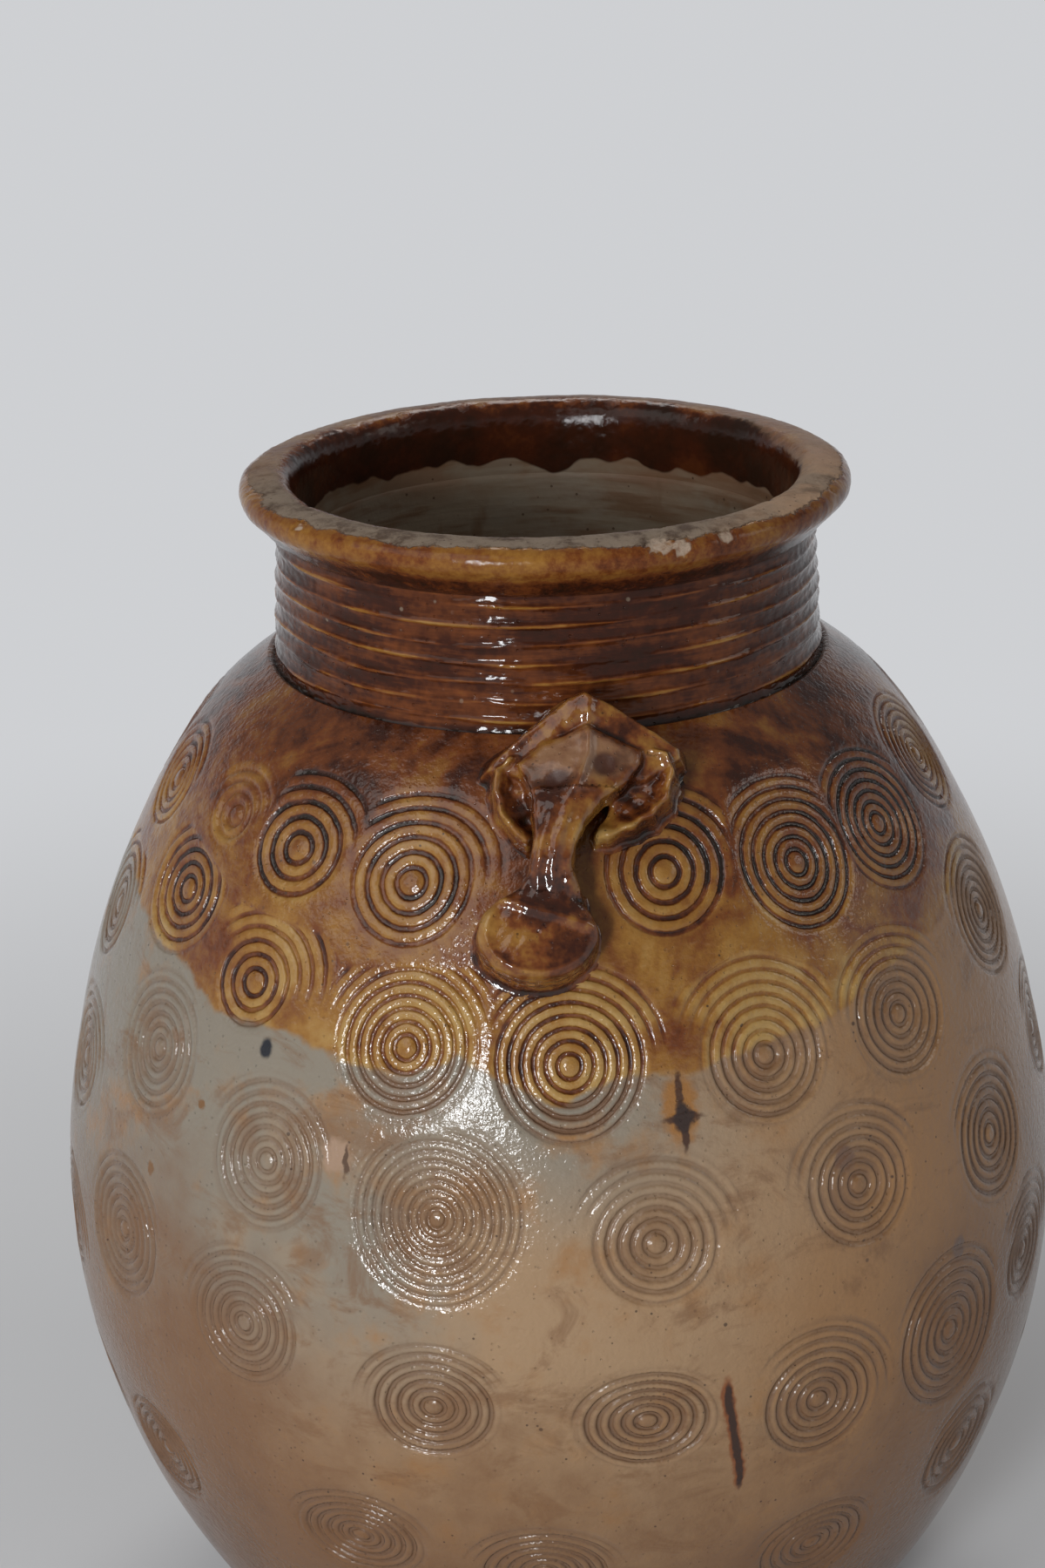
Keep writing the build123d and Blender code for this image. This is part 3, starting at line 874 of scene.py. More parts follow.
def rim_chips():
    """Seen chips, and small ones scattered along both edges of the rim."""
    chips = list(seen_chips)
    for _ in range(hidden_chip_count):
        radius = dice.choice(rim_edge_radii)
        azimuth, size, depth = dice.uniform(0, 360), dice.uniform(1.2, 3.2), dice.uniform(0.2, 0.45)
        chips.append(Chip(azimuth, radius, hidden_chip_height, size, depth))
    return chips


def make_rim(material):
    """Everted rim: rolled lip, flat top that falls slightly outwards, and a rounded edge into the mouth."""
    low, high = (np.array(corner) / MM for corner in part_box("rim_band"))
    reach, top = high[0], high[2]
    seat_radius, seat = skin_rows("neck_collar", 1)[-1]
    outline = np.array(
        [
            (seat_radius, seat),
            (seat_radius + 2.6, seat + 1.4),
            (reach - 4.4, top - 10.6),
            (reach - 1.6, top - 8.6),
            (reach - 0.2, top - 6.4),
            (reach, top - 4.4),
            (reach - 0.6, top - 2.6),
            (reach - 2.2, top - 1.3),
            (reach - 4.6, top - 0.7),
            (reach - 8.0, top - 0.2),
            (bore_radius + 4.8, top),
            (bore_radius + 2.5, top - 0.9),
            (bore_radius + 0.8, top - 3.0),
            (bore_radius, top - 6.5),
            (bore_radius, seat - scarf_drop + 6.0),
            (bore_radius, seat - scarf_drop),
        ]
    )
    rows = resampled(outline, row_spacing, 3)
    along = np.concatenate([[0], np.cumsum(np.hypot(*np.diff(rows, axis=0).T))])
    free = smooth_step(0, 3, along) * smooth_step(0, 6, along[-1] - along)
    lip_end = along[np.argmax(rows[:, 0])] + lip_roll
    numbers = {"free": free, "past_lip": along - lip_end}
    mesh = turned_loop("rim", rows, numbers, np.zeros(len(rows)), rim_sizes, material, material)
    points = mesh_points(mesh)
    normals = point_normals(points, mesh_triangles(mesh))
    chipped = np.zeros(len(points))
    for chip in rim_chips():
        centre = around(chip.radius, math.radians(chip.azimuth), chip.height)[0]
        away = points - centre
        ragged = 1 + 0.25 * np.sin(away[:, 0] * 2.1 + chip.size) * np.cos(away[:, 1] * 2.7)
        share = 1 - smooth_step(0.55, 1.0, np.linalg.norm(away, axis=1) / chip.size * ragged)
        chipped = np.maximum(chipped, share * min(1, chip.depth / 0.8))
        points -= normals * (share * chip.depth)[:, None]
    mesh.attributes.new("chipped", "FLOAT", "POINT").data.foreach_set("value", chipped.astype(np.float32))
    points[:, 2] = np.minimum(points[:, 2], top)
    put("rim_band_glazed", reshaped(mesh, settled(points)), "rim_glaze", "rim_band")


# Lugs, laid out on the plane that touches the wall: across, up the wall, and out from it
lug_drop = 24.0
lug_grid = 0.5
lug_low = np.array([-27.0, -41.0, -7.0])
lug_high = np.array([36.0, 48.0, 21.0])
lug_turns = {"front": 0.0, "back": 180.0}
# Share of the strap's sway to the right that each lug keeps, and how far the whole sway leans
lug_sways = {"front": 1.0, "back": 0.6}
full_lean = 0.28

# Outlines and lines as (across, up), and heights along the strap as (up, out)
hood_outline = [
    (-20.5, 21.5), (-18.5, 25), (-11.4, 31), (1.6, 41.8), (7.5, 44), (14.6, 39.9), (26.3, 31.6),
    (32.6, 26.8), (32.8, 23.2), (23, 16), (-9, 17),
]
gable_line = [(-18, 23.5), (-10, 30.2), (2.4, 40), (7.6, 41.8), (14, 38.2), (25.4, 30.2), (30.4, 25.6)]
pad_outline = [
    (-11.5, 22), (-5, 27.5), (1, 29.5), (7, 32.5), (13, 28.8), (21.5, 24.8), (20.5, 20.5), (14, 15.5),
    (5, 12.5), (-3, 11.5), (-8.5, 15),
]
strap_outline = [
    (-11.5, 22.5), (-4.5, 28), (1, 29.6), (7, 32.8), (13, 29), (21.6, 25), (21.4, 21), (17, 15.5), (10.5, 10),
    (6.5, 4.5), (3.8, -1), (2.4, -7), (5.0, -15), (-14.5, -15), (-9.6, -8), (-8.2, 0), (-8.2, 12), (-9.3, 18),
]
strap_top = [(-16, 10.5), (-11, 13.5), (-5, 16.0), (2, 17.0), (10, 16.8), (18, 15.2), (24, 13.8), (32, 12.8)]
strap_back = [(-13, -3.0), (-10.5, 4.5), (-6, 7.5), (0, 8.5), (6, 8.0), (11, 4.5), (14, -3.0)]
strap_middle = [(-15, -4.0), (-8, -4.0), (0, -2.5), (8, 0.5), (16, 4.5), (24, 7.2), (39, 8.3)]
left_ear_outline = [
    (-8, 25), (-13.5, 26), (-17.8, 22.5), (-18.9, 16), (-17, 8.5), (-12.8, 2.5), (-9.3, -0.5),
    (-6.5, 2), (-6.5, 20),
]
right_ear_outline = [
    (17, 24), (24, 27), (29, 25.5), (31, 19), (29, 11.5), (24.5, 6.5), (19, 3.5), (12, 0.8), (8.5, 0.5),
    (7.5, 3), (12, 10),
]
left_ear_lip = left_ear_outline[1:7]
right_ear_lip = right_ear_outline[1:8]
eye_places = [(-1.0, 16.0), (11.4, 20.5)]
button_middle = (-7.5, -23.5)
button_halves = (16.0, 12.5)
button_top = 12.0
head_split = 14.0
crease_fill = 1.3
wall_fillet = 1.3
# How a lug's pieces share the melted form: the fill that each keeps beyond its own form, its overlap
# with the next piece, its depth below the wall's skin, and the melted form's gap to that skin
crease_reach = 1.6
piece_overlap = 0.7
piece_depth = 3.5
lug_bed_gap = 0.12


def joined(first, second, reach):
    """Distance to two forms melted together over a reach."""
    share = np.clip(0.5 + 0.5 * (second - first) / reach, 0, 1)
    return second * (1 - share) + first * share - reach * share * (1 - share)


def common(first, second, reach):
    """Distance to what two forms share, with its edge rounded over a reach."""
    return -joined(-first, -second, reach)


def line_distance(line, across, up):
    """Distance to a bent line."""
    best = np.full(across.shape, 1e9)
    for (x0, y0), (x1, y1) in zip(line, line[1:]):
        run_x, run_y = x1 - x0, y1 - y0
        share = ((across - x0) * run_x + (up - y0) * run_y) / (run_x**2 + run_y**2)
        share = np.clip(share, 0, 1)
        best = np.minimum(best, np.hypot(across - x0 - share * run_x, up - y0 - share * run_y))
    return best


def outline_distance(outline, across, up):
    """Distance to a closed outline, below zero inside it."""
    inside = np.zeros(across.shape, bool)
    for (x0, y0), (x1, y1) in zip(outline, outline[1:] + outline[:1]):
        if y0 == y1:
            continue
        crosses = (y0 > up) != (y1 > up)
        inside ^= crosses & (across < x0 + (up - y0) * (x1 - x0) / (y1 - y0))
    distance = line_distance(outline + outline[:1], across, up)
    return np.where(inside, -distance, distance)


def bump(across, up, middle, size):
    """1 at a place, fading over a size."""
    return np.exp(-((across - middle[0]) ** 2 + (up - middle[1]) ** 2) / size**2)


def raised(side, top, out, rounding, taper, bedding):
    """Form with an outline, a top surface and sloping sides."""
    form = common(side[:, :, None] + taper * out, out - top[:, :, None], rounding)
    return np.maximum(form, -bedding - out)


def lug_forms(across, up, out):
    """Distances to the five forms of the lug."""
    x, y = across[:, :, 0], up[:, :, 0]
    middle = np.interp(y, *np.array(strap_middle).T)
    off_middle = x - middle

    gable = line_distance(gable_line, x, y)
    hood_top = 5.4 + 1.6 * smooth_step(0.5, 6.0, gable) + 0.36 * np.maximum(y - 24, 0)
    hood_top += 0.8 * np.exp(-((off_middle / 1.3) ** 2)) + 0.5 * np.exp(-((gable / 1.1) ** 2))
    hood = raised(outline_distance(hood_outline, x, y), hood_top, out, 1.6, 0.22, 9.0)

    strap_side = outline_distance(strap_outline, x, y)
    face = np.interp(y, *np.array(strap_top).T)
    face = face - 0.26 * (np.sqrt(off_middle**2 + 2) - 1.4)
    face += 1.5 * np.exp(-((off_middle / 1.4) ** 2)) * smooth_step(8, 18, y)
    face += 0.8 * bump(x, y, (-1.5, 21.5), 4.5) + 0.8 * bump(x, y, (13.5, 23.5), 4.5)
    for place in eye_places:
        face -= 1.0 * bump(x, y, place, 3.0)
    face += 0.35 * np.sin(off_middle * 1.5) * (1 - smooth_step(4, 12, y))
    back = np.interp(y, *np.array(strap_back).T)
    strap = common(strap_side[:, :, None] + 0.1 * (out - 8), out - face[:, :, None], 2.0)
    strap = common(strap, back[:, :, None] - out, 1.5)
    strap = np.maximum(strap, -9.0 - out)
    head = joined(hood, common(strap, head_split - up, 0.3), crease_fill)
    trunk = common(strap, up - head_split, 0.3)

    ears = []
    ear_shapes = [(left_ear_outline, left_ear_lip, 8.6), (right_ear_outline, right_ear_lip, 9.0)]
    for outline, lip_line, lip in ear_shapes:
        side = outline_distance(outline, x, y) + 0.22 * np.sin(x * 0.8 + y * 0.6)
        from_lip = line_distance(lip_line, x, y)
        top = lip - 4.6 * smooth_step(0.4, 6.5, from_lip) + 0.35 * np.sin(y * 1.1) * np.cos(x * 0.9)
        ears.append(raised(side, top, out, 1.3, 0.16, 5.0))

    right, high = x - button_middle[0], y - button_middle[1]
    reach = np.hypot(right / button_halves[0], high / button_halves[1])
    side = np.hypot(right, high) * (1 - 1 / np.maximum(reach, 0.05))
    top = button_top - 0.012 * (right**2 + high**2) + 0.02 * high - 0.05 * right
    crown = high + 0.32 * right - 6.0
    top += 1.3 * np.exp(-((crown / 1.5) ** 2))
    top += 1.6 * smooth_step(0.5, 5.0, crown) * bump(x, y, (-3.5, -11), 9.0)
    top += 0.9 * np.exp(-(((reach - 0.84) / 0.09) ** 2)) * smooth_step(4, -4, high + 0.5 * right)
    button = raised(side, top, out, 2.0, 0.06, 5.0)
    return {"head": head, "left_ear": ears[0], "right_ear": ears[1], "trunk": trunk, "button": button}


def slow_waves(across, up, out, count, length, depth):
    """Sum of slow waves in every direction, for the marks of the fingers."""
    total = np.zeros(across.shape)
    for _ in range(count):
        way = dice.normal(size=3)
        way *= TURN / (length * dice.uniform(0.7, 1.4) * np.linalg.norm(way))
        total += np.sin(way[0] * across + way[1] * up + way[2] * out + dice.uniform(0, TURN))
    return depth * total / math.sqrt(count)


def box_blur(field, reach):
    """Average over a cube of reach cells each way."""
    for axis in range(3):
        width = [(0, 0)] * 3
        width[axis] = (reach + 1, reach)
        sums = np.cumsum(np.pad(field, width, mode="edge"), axis=axis)
        count = field.shape[axis]
        high = np.take(sums, np.arange(2 * reach + 1, 2 * reach + 1 + count), axis=axis)
        low = np.take(sums, np.arange(count), axis=axis)
        field = (high - low) / (2 * reach + 1)
    return field


def sampled(field, cells):
    """Values of a field between its cells."""
    cells = np.clip(cells, 0, np.array(field.shape) - 1.001)
    base = cells.astype(int)
    share = cells - base
    total = np.zeros(len(cells))
    for corner in np.ndindex(2, 2, 2):
        weight = np.prod(np.where(corner, share, 1 - share), axis=1)
        total += weight * field[tuple((base + corner).T)]
    return total


def sampled_slope(slopes, cells):
    """Slope of a field between its cells, from its slope along each axis."""
    return np.stack([sampled(slope, cells) for slope in slopes], axis=1)


def surface_net(field):
    """Closed triangles where a field passes zero, in cells. Inside is below zero."""
    inside = field < 0
    shape = np.array(field.shape) - 1
    sums, counts = np.zeros((*shape, 3)), np.zeros(shape)
    crossings = []
    for axis in range(3):
        low = [slice(None)] * 3
        high = [slice(None)] * 3
        low[axis], high[axis] = slice(0, -1), slice(1, None)
        first, second = field[tuple(low)], field[tuple(high)]
        crossed = inside[tuple(low)] != inside[tuple(high)]
        share = np.where(crossed, first / np.where(crossed, first - second, 1), 0)
        crossings.append((crossed, inside[tuple(low)]))
        others = [other for other in range(3) if other != axis]
        for step in np.ndindex(2, 2):
            part = [slice(None)] * 3
            for other, start in zip(others, step):
                part[other] = slice(start, start + shape[other])
            counts += crossed[tuple(part)]
            for other, start in zip(others, step):
                sums[..., other] += crossed[tuple(part)] * start
            sums[..., axis] += share[tuple(part)]
    mixed = counts > 0
    cells = np.argwhere(mixed)
    points = cells + sums[mixed] / counts[mixed][:, None]
    numbering = np.full(shape, -1)
    numbering[mixed] = np.arange(len(cells))
    quads = []
    for axis in range(3):
        crossed, low_inside = crossings[axis]
        first, second = [(1, 2), (2, 0), (0, 1)][axis]
        edges = np.argwhere(crossed)
        edges = edges[(edges[:, first] > 0) & (edges[:, second] > 0)]
        edges = edges[(edges[:, first] < shape[first]) & (edges[:, second] < shape[second])]
        corners = []
        for step in ((1, 1), (0, 1), (0, 0), (1, 0)):
            cell = edges.copy()
            cell[:, first] -= step[0]
            cell[:, second] -= step[1]
            corners.append(numbering[tuple(cell.T)])
        quad = np.stack(corners, axis=1)
        outward = low_inside[tuple(edges.T)]
        quads.append(np.where(outward[:, None], quad, quad[:, ::-1]))
    quads = np.concatenate(quads)
    return points, np.concatenate([quads[:, [0, 1, 2]], quads[:, [0, 2, 3]]])


def lug_axes(turn):
    """Origin and the across, up and out directions of a lug's plane."""
    place = place_of_height(top_height - lug_drop)
    radius, height = radius_at(place), np.interp(place, skin_place, skin_height)
    rise = np.interp(place + 1, skin_place, skin_height) - height
    shrink = radius_at(place + 1) - radius
    length = math.hypot(rise, shrink)
    rise, shrink = rise / length, shrink / length
    axes = np.array([(1, 0, 0), (0, -shrink, rise), (0, -rise, -shrink)])
    spin = np.array(Matrix.Rotation(math.radians(turn), 3, "Z"))
    return spin @ np.array((0, -radius, height)), axes @ spin.T


def wall_distance(points):
    """Distance from the skin and the neck, above zero outside."""
    rising = slice(0, -len(skin_top))
    heights = np.append(skin_height[rising], top_height + 0.8)
    radii = np.append(skin_radius[rising], bore_radius + 7.2)
    radius = np.hypot(points[..., 0], points[..., 1])
    slope = np.gradient(radii, heights)
    level = np.interp(points[..., 2], heights, 1 / np.sqrt(1 + slope**2))
    return (radius - np.interp(points[..., 2], heights, radii)) * level


def make_lug(name, material):
    """Five closed pieces that melt into each other and into the wall, as slip and glaze join them."""
    counts = np.round((lug_high - lug_low) / lug_grid).astype(int) + 1
    lines = [lug_low[axis] + lug_grid * np.arange(counts[axis]) for axis in range(3)]
    across, up, out = np.meshgrid(*lines, indexing="ij")
    lean = (1 - lug_sways[name]) * full_lean
    forms = lug_forms(across + lean * up, up, out)
    origin, axes = lug_axes(lug_turns[name])
    places = np.stack([across, up, out], axis=-1) @ axes + origin
    wall = wall_distance(places) + lug_bed_gap
    touch = slow_waves(across, up, out, 10, 9.0, 0.16) + slow_waves(across, up, out, 10, 3.2, 0.07)
    whole = None
    for form in forms.values():
        whole = form if whole is None else joined(whole, form, crease_fill)
    melted = joined(whole + touch, wall, wall_fillet)
    slopes = np.gradient(melted, lug_grid)
    solid = box_blur(box_blur((melted < 0).astype(float), 4), 3)
    edge = np.ones(melted.shape, bool)
    edge[1:-1, 1:-1, 1:-1] = False
    for part, form in forms.items():
        rival = np.min([other for key, other in forms.items() if key != part], axis=0)
        own = np.maximum(form - crease_reach, form - rival - piece_overlap)
        own = np.maximum(own, -piece_depth - wall)
        field = np.maximum(melted, own)
        field[edge] = 1
        cells, triangles = surface_net(field)
        on_skin = np.abs(sampled(melted, cells)) < 0.2
        for _ in range(2):
            slope = sampled_slope(slopes, cells)
            steep = np.maximum(np.sum(slope**2, axis=1), 0.2)
            shift = -slope * (sampled(melted, cells) / steep)[:, None] / lug_grid
            cells = np.where(on_skin[:, None], cells + np.clip(shift, -0.4, 0.4), cells)
        normals = unit(sampled_slope(slopes, cells))
        points = settled((lug_low + cells * lug_grid) @ axes + origin)
        x, y, rise = (lug_low + cells * lug_grid).T
        x = x + lean * y
        scallop = 0.9 * np.sin(0.9 * x + 0.6 * y) * np.cos(0.5 * x - 0.4 * y)
        on_pad = 1 - smooth_step(-2.5, 0.3, outline_distance(pad_outline, x, y) + scallop)
        on_pad *= smooth_step(12.0, 21.0, y)
        eyes = np.maximum(*(bump(x, y, place, 3.4) for place in eye_places))
        numbers = {"hollow": 2 * sampled(solid, cells) - 1}
        numbers["pad"] = on_pad * smooth_step(9.5, 11.5, rise)
        numbers["eye"] = smooth_step(0.15, 0.6, eyes) * smooth_step(9.0, 11.0, rise)
        mesh = mesh_of(f"{name}_lug_{part}", points, triangles, numbers)
        mesh.materials.append(material)
        outer = on_skin[triangles].all(axis=1)[:, None, None]
        flat_normals = face_normals(points, triangles)[:, None, :]
        corner_normals = np.where(outer, (normals @ axes)[triangles], flat_normals)
        mesh.normals_split_custom_set(corner_normals.reshape(-1, 3).tolist())
        put(f"{name}_lug_{part}_glazed", mesh, "amber_glaze", f"{name}_lug_{part}")


# Colours, as linear light, and how strongly the two kinds of glaze mirror
celadon_grey = (0.205, 0.174, 0.134)
pale_beige = (0.30, 0.190, 0.104)
warm_buff = (0.27, 0.138, 0.054)
clay_brown = (0.155, 0.072, 0.029)
# Near black brown of the painted shade low on the belly and at its sides
painted_shade_brown = (0.082, 0.032, 0.011)
pale_groove = (0.135, 0.072, 0.040)
bare_body = (0.17, 0.105, 0.066)
amber_thin = (0.34, 0.205, 0.066)
amber_gold = (0.245, 0.112, 0.022)
amber_red = (0.130, 0.036, 0.009)
amber_dark = (0.040, 0.010, 0.004)
amber_black = (0.014, 0.007, 0.004)
iron_spot = (0.05, 0.026, 0.015)
pad_tan = (0.215, 0.112, 0.060)
rim_buff = (0.200, 0.150, 0.108)
rim_grime = (0.075, 0.045, 0.028)
rim_tan = (0.38, 0.235, 0.140)
chip_white = (0.36, 0.27, 0.20)
lining_grey = (0.185, 0.142, 0.098)
lining_brown = (0.125, 0.072, 0.040)
lining_pink = (0.165, 0.085, 0.048)
pale_gloss = 0.45
dark_gloss = 0.18
floor_colour = (0.62, 0.625, 0.64)
backdrop_colour = (0.62, 0.63, 0.65)


def new_material(name):
    """Material with a Recipe for its nodes and its surface node."""
    material = bpy.data.materials.new(name)
    material.use_nodes = True
    surface = material.node_tree.nodes["Principled BSDF"]
    return material, Recipe(material.node_tree), surface


def amber_of(recipe, thickness):
    """Colour of the amber glaze: gold where it is thin, near black where it has pooled."""
    ramp = recipe.node("ShaderNodeValToRGB", {"Fac": thickness})
    stops = [(0.0, amber_thin), (0.28, amber_gold), (0.58, amber_red), (0.8, amber_dark), (1.0, amber_black)]
    elements = ramp.color_ramp.elements
    while len(elements) < len(stops):
        elements.new(0.5)
    for element, (position, colour) in zip(elements, stops):
        element.position = position
        element.color = (*colour, 1)
    return ramp.outputs[0]


def specks(recipe, place, size, share):
    """Scattered small spots: 1 on a spot, 0 elsewhere. A larger share gives larger and more spots."""
    far = recipe.cells(place, size, "Distance")
    chosen = recipe.cells(place, size, "Color")
    picked = recipe.step(recipe.parts(chosen)["X"], 0.55, 0.6)
    return recipe.times(recipe.step(far, share, share * 0.55), picked)


def mark(recipe, place, azimuth, height, width, length, ragged):
    """A ragged oval mark on the front wall: 1 inside it and 0 outside."""
    radius = float(radius_at(place_of_height(height)))
    turn = math.radians(azimuth)
    centre = (radius * math.sin(turn), -radius * math.cos(turn), height)
    away = recipe.vector("SUBTRACT", place, centre)
    rough = recipe.noise(place, 2.6, detail=3.0).node.outputs["Color"]
    shove = recipe.vector("SUBTRACT", rough, (0.5, 0.5, 0.5))
    away = recipe.vector("ADD", away, recipe.scaled(shove, ragged, ragged))
    right = recipe.vector("DOT_PRODUCT", away, (math.cos(turn) * 2 / width, math.sin(turn) * 2 / width, 0))
    rise = recipe.times(recipe.parts(away)["Z"], 2 / length)
    forward = recipe.vector("DOT_PRODUCT", away, (math.sin(turn), -math.cos(turn), 0))
    reach = recipe.math("SQRT", recipe.add(recipe.times(right, right), recipe.times(rise, rise)))
    near = recipe.step(recipe.math("ABSOLUTE", forward), 18.0, 14.0)
    return recipe.times(recipe.step(reach, 1.3, 0.7), near)


def finish_surface(recipe, surface, colour, roughness, heights, gloss=0.5):
    """Connects colour, roughness and bumps, given as (height, distance in millimetres)."""
    recipe.feed(surface.inputs["Base Color"], colour)
    recipe.feed(surface.inputs["Roughness"], roughness)
    surface.inputs["Specular IOR Level"].default_value = gloss
    normal = None
    for height, distance in heights:
        inputs = {"Height": height, "Distance": distance * MM, "Strength": 1.0}
        if normal is not None:
            inputs["Normal"] = normal
        normal = recipe.node("ShaderNodeBump", inputs).outputs[0]
    recipe.feed(surface.inputs["Normal"], normal)


def groove_lines(recipe, place):
    """Line at the bottom of each groove, a wide soft one, and how near a point is to a ridge."""
    rings = recipe.attribute("rings")
    rough = recipe.swing(recipe.noise(place, 3.0, detail=3.0), 0.16)
    turned = recipe.math("FRACT", recipe.add(rings, rough, 0.5))
    off = recipe.math("ABSOLUTE", recipe.math("SUBTRACT", turned, 0.5))
    past_middle = recipe.step(rings, 0.4, 0.7)
    line = recipe.times(recipe.step(off, 0.25, 0.09), past_middle)
    band = recipe.times(recipe.step(off, 0.44, 0.16), past_middle)
    ridge = recipe.times(recipe.step(off, 0.28, 0.46), past_middle)
    return line, band, ridge


def pale_colour(recipe, place):
    """Colour of the thin pale glaze, and the large and small noise that shape it.

    Greyish to the left, beige in the middle, browner to the right and lower down; painted shade darkens the
    bottom and sides.
    """
    parts = recipe.parts(place)
    patches = recipe.noise(place, 62.0, detail=4.0, roughness=0.62)
    small = recipe.noise(place, 17.0, detail=4.0, roughness=0.6)
    drift = recipe.add(recipe.swing(patches, 190.0), parts["X"])
    grey_side = recipe.step(drift, -20.0, -85.0)
    grey_high = recipe.step(recipe.add(parts["Z"], recipe.times(patches, 60.0)), 150.0, 215.0)
    near_amber = recipe.step(recipe.attribute("above_edge"), -48.0, -6.0)
    grey_band = recipe.times(near_amber, recipe.step(parts["X"], 60, 5))
    base = recipe.mix(recipe.most(recipe.times(grey_side, grey_high), grey_band), pale_beige, celadon_grey)
    warm = recipe.step(recipe.add(parts["X"], recipe.times(patches, 120.0)), 75.0, 165.0)
    base = recipe.mix(warm, base, warm_buff)
    sunk = recipe.add(parts["Z"], recipe.times(small, 80.0), recipe.times(patches, 110.0))
    # Painted shade: towards the sides the browning and the darkening below start higher up
    off_middle = recipe.math("ABSOLUTE", recipe.math("SUBTRACT", parts["X"], 10.0))
    sides = recipe.step(off_middle, 50.0, 120.0, 0.0, -60.0)
    # Browner lower down: partly the clay's tone, partly painted shade
    low = recipe.step(recipe.add(sunk, sides), 268.0, 172.0)
    base = recipe.mix(recipe.step(small, 0.50, 0.78), base, warm_buff)
    base = recipe.mix(recipe.times(low, 0.92), base, clay_brown)
    # Painted shade: near black brown low on the belly, reaching higher at the sides
    deep = recipe.step(recipe.add(sunk, sides), 185.0, 90.0, 0.0, 0.75)
    return recipe.mix(deep, base, painted_shade_brown), patches, small


def make_wall_glaze(name, with_amber):
    """Glaze of one wall section: pale, and amber above the dipping line where there is one."""
    material, recipe, surface = new_material(name)
    place = recipe.place()
    line, band, ridge = groove_lines(recipe, place)
    shown, ink = recipe.attribute("shown"), recipe.attribute("ink")
    colour, patches, small = pale_colour(recipe, place)

    soft_disc = recipe.step(recipe.attribute("dished"), 0.0, 0.75)
    worn = recipe.times(soft_disc, recipe.step(recipe.noise(place, 14.0, detail=4.0), 0.38, 0.62, 0.05, 0.55))
    colour = recipe.mix(worn, colour, clay_brown)
    stained = recipe.times(band, recipe.add(recipe.times(shown, 0.26), recipe.times(ink, 0.85)))
    stained = recipe.times(stained, recipe.step(small, 0.25, 0.6, 0.45, 1.0))
    colour = recipe.mix(stained, colour, pale_groove)
    smears = recipe.scaled(place, 1, 1.6)
    smears = recipe.noise(smears, 26.0, detail=5.0, roughness=0.7, distortion=0.8)
    colour = recipe.mix(recipe.times(recipe.step(smears, 0.50, 0.68), 0.60), colour, clay_brown)
    roughness = recipe.number(recipe.step(patches, 0.35, 0.65), 0.10, 0.22)

    if with_amber:
        above = recipe.attribute("above_edge")
        ragged = recipe.swing(recipe.noise(place, 7.0, detail=3.0), 5.0)
        amber = recipe.step(recipe.add(above, ragged), -1.0, 1.2)
        height = recipe.parts(place)["Z"]
        cloud = recipe.noise(place, 36.0, detail=4.0, roughness=0.6, distortion=0.6)
        mottle = recipe.noise(place, 6.5, detail=4.0, roughness=0.65)
        thickness = recipe.add(
            recipe.step(height, 250.0, 312.0, 0.16, 0.40),
            recipe.step(cloud, 0.36, 0.66, 0.0, 0.36),
            recipe.step(mottle, 0.3, 0.7, -0.06, 0.14),
            recipe.times(recipe.step(shown, 0.0, 0.8), -0.13),
            recipe.times(ridge, shown, -0.05),
            recipe.times(line, ink, recipe.step(small, 0.3, 0.65, 0.28, 0.66)),
        )
        thin_edge = recipe.step(above, 9.0, 0.5)
        thickness = recipe.math("SUBTRACT", thickness, recipe.times(thin_edge, 0.12), clamp=True)
        colour = recipe.mix(amber, colour, amber_of(recipe, thickness))
        roughness = recipe.number(amber, roughness, 0.16)

    spots = recipe.most(specks(recipe, place, 3.4, 0.13), specks(recipe, place, 8.0, 0.09))
    sparse = recipe.step(recipe.noise(place, 30.0), 0.42, 0.6)
    colour = recipe.mix(recipe.times(spots, sparse, 0.85), colour, iron_spot)
    for azimuth, height, width, length, tint, ragged in wall_marks:
        share = mark(recipe, place, azimuth, height, width, length, ragged)
        colour = recipe.mix(share, colour, tint)

    bumps = [
        (recipe.times(line, ink), -0.35),
        (recipe.noise(place, 2.6, detail=3.0), 0.24),
        (recipe.noise(place, 1.3, detail=3.0), 0.13),
        (specks(recipe, place, 2.2, 0.16), -0.25),
    ]
    finish_surface(recipe, surface, colour, roughness, bumps, pale_gloss)
    return material


# Stains and spots of the wall: azimuth, height, width, length, colour and raggedness
wall_marks = [
    (-36.8, 242, 4.0, 5.2, (0.012, 0.013, 0.018), 1.5),
    (12.0, 233, 9.5, 17.0, (0.26, 0.115, 0.030), 4.0),
    (12.0, 238, 2.0, 9.0, (0.06, 0.024, 0.010), 2.0),
    (12.2, 231, 11.0, 2.0, (0.06, 0.024, 0.010), 3.0),
    (12.3, 227, 2.2, 10.0, (0.05, 0.020, 0.009), 2.0),
    (12.2, 231, 5.0, 8.0, (0.026, 0.012, 0.008), 3.5),
    (-26.0, 219, 8.5, 9.0, (0.30, 0.195, 0.130), 5.0),
    (-24.8, 218, 1.6, 8.0, (0.09, 0.050, 0.030), 3.0),
    (-52.4, 197, 3.0, 4.0, (0.16, 0.075, 0.025), 3.0),
    (-45.1, 222, 2.6, 2.6, (0.16, 0.075, 0.025), 3.0),
    (46.0, 172, 5.0, 7.0, (0.13, 0.075, 0.05), 3.0),
    (30.9, 211, 7.0, 7.0, (0.15, 0.080, 0.048), 3.0),
]
# A long run of glaze, red-brown with a dark middle, as marks that overlap down the wall
streak_marks = [
    (15.3, 153, 3.4, 11.0, (0.19, 0.058, 0.015), 2.0),
    (15.4, 152, 1.9, 10.0, (0.035, 0.014, 0.007), 1.5),
]
for first_azimuth, first_height, *others in streak_marks:
    wall_marks += [(first_azimuth + 0.3 * step, first_height - 5 * step, *others) for step in range(6)]


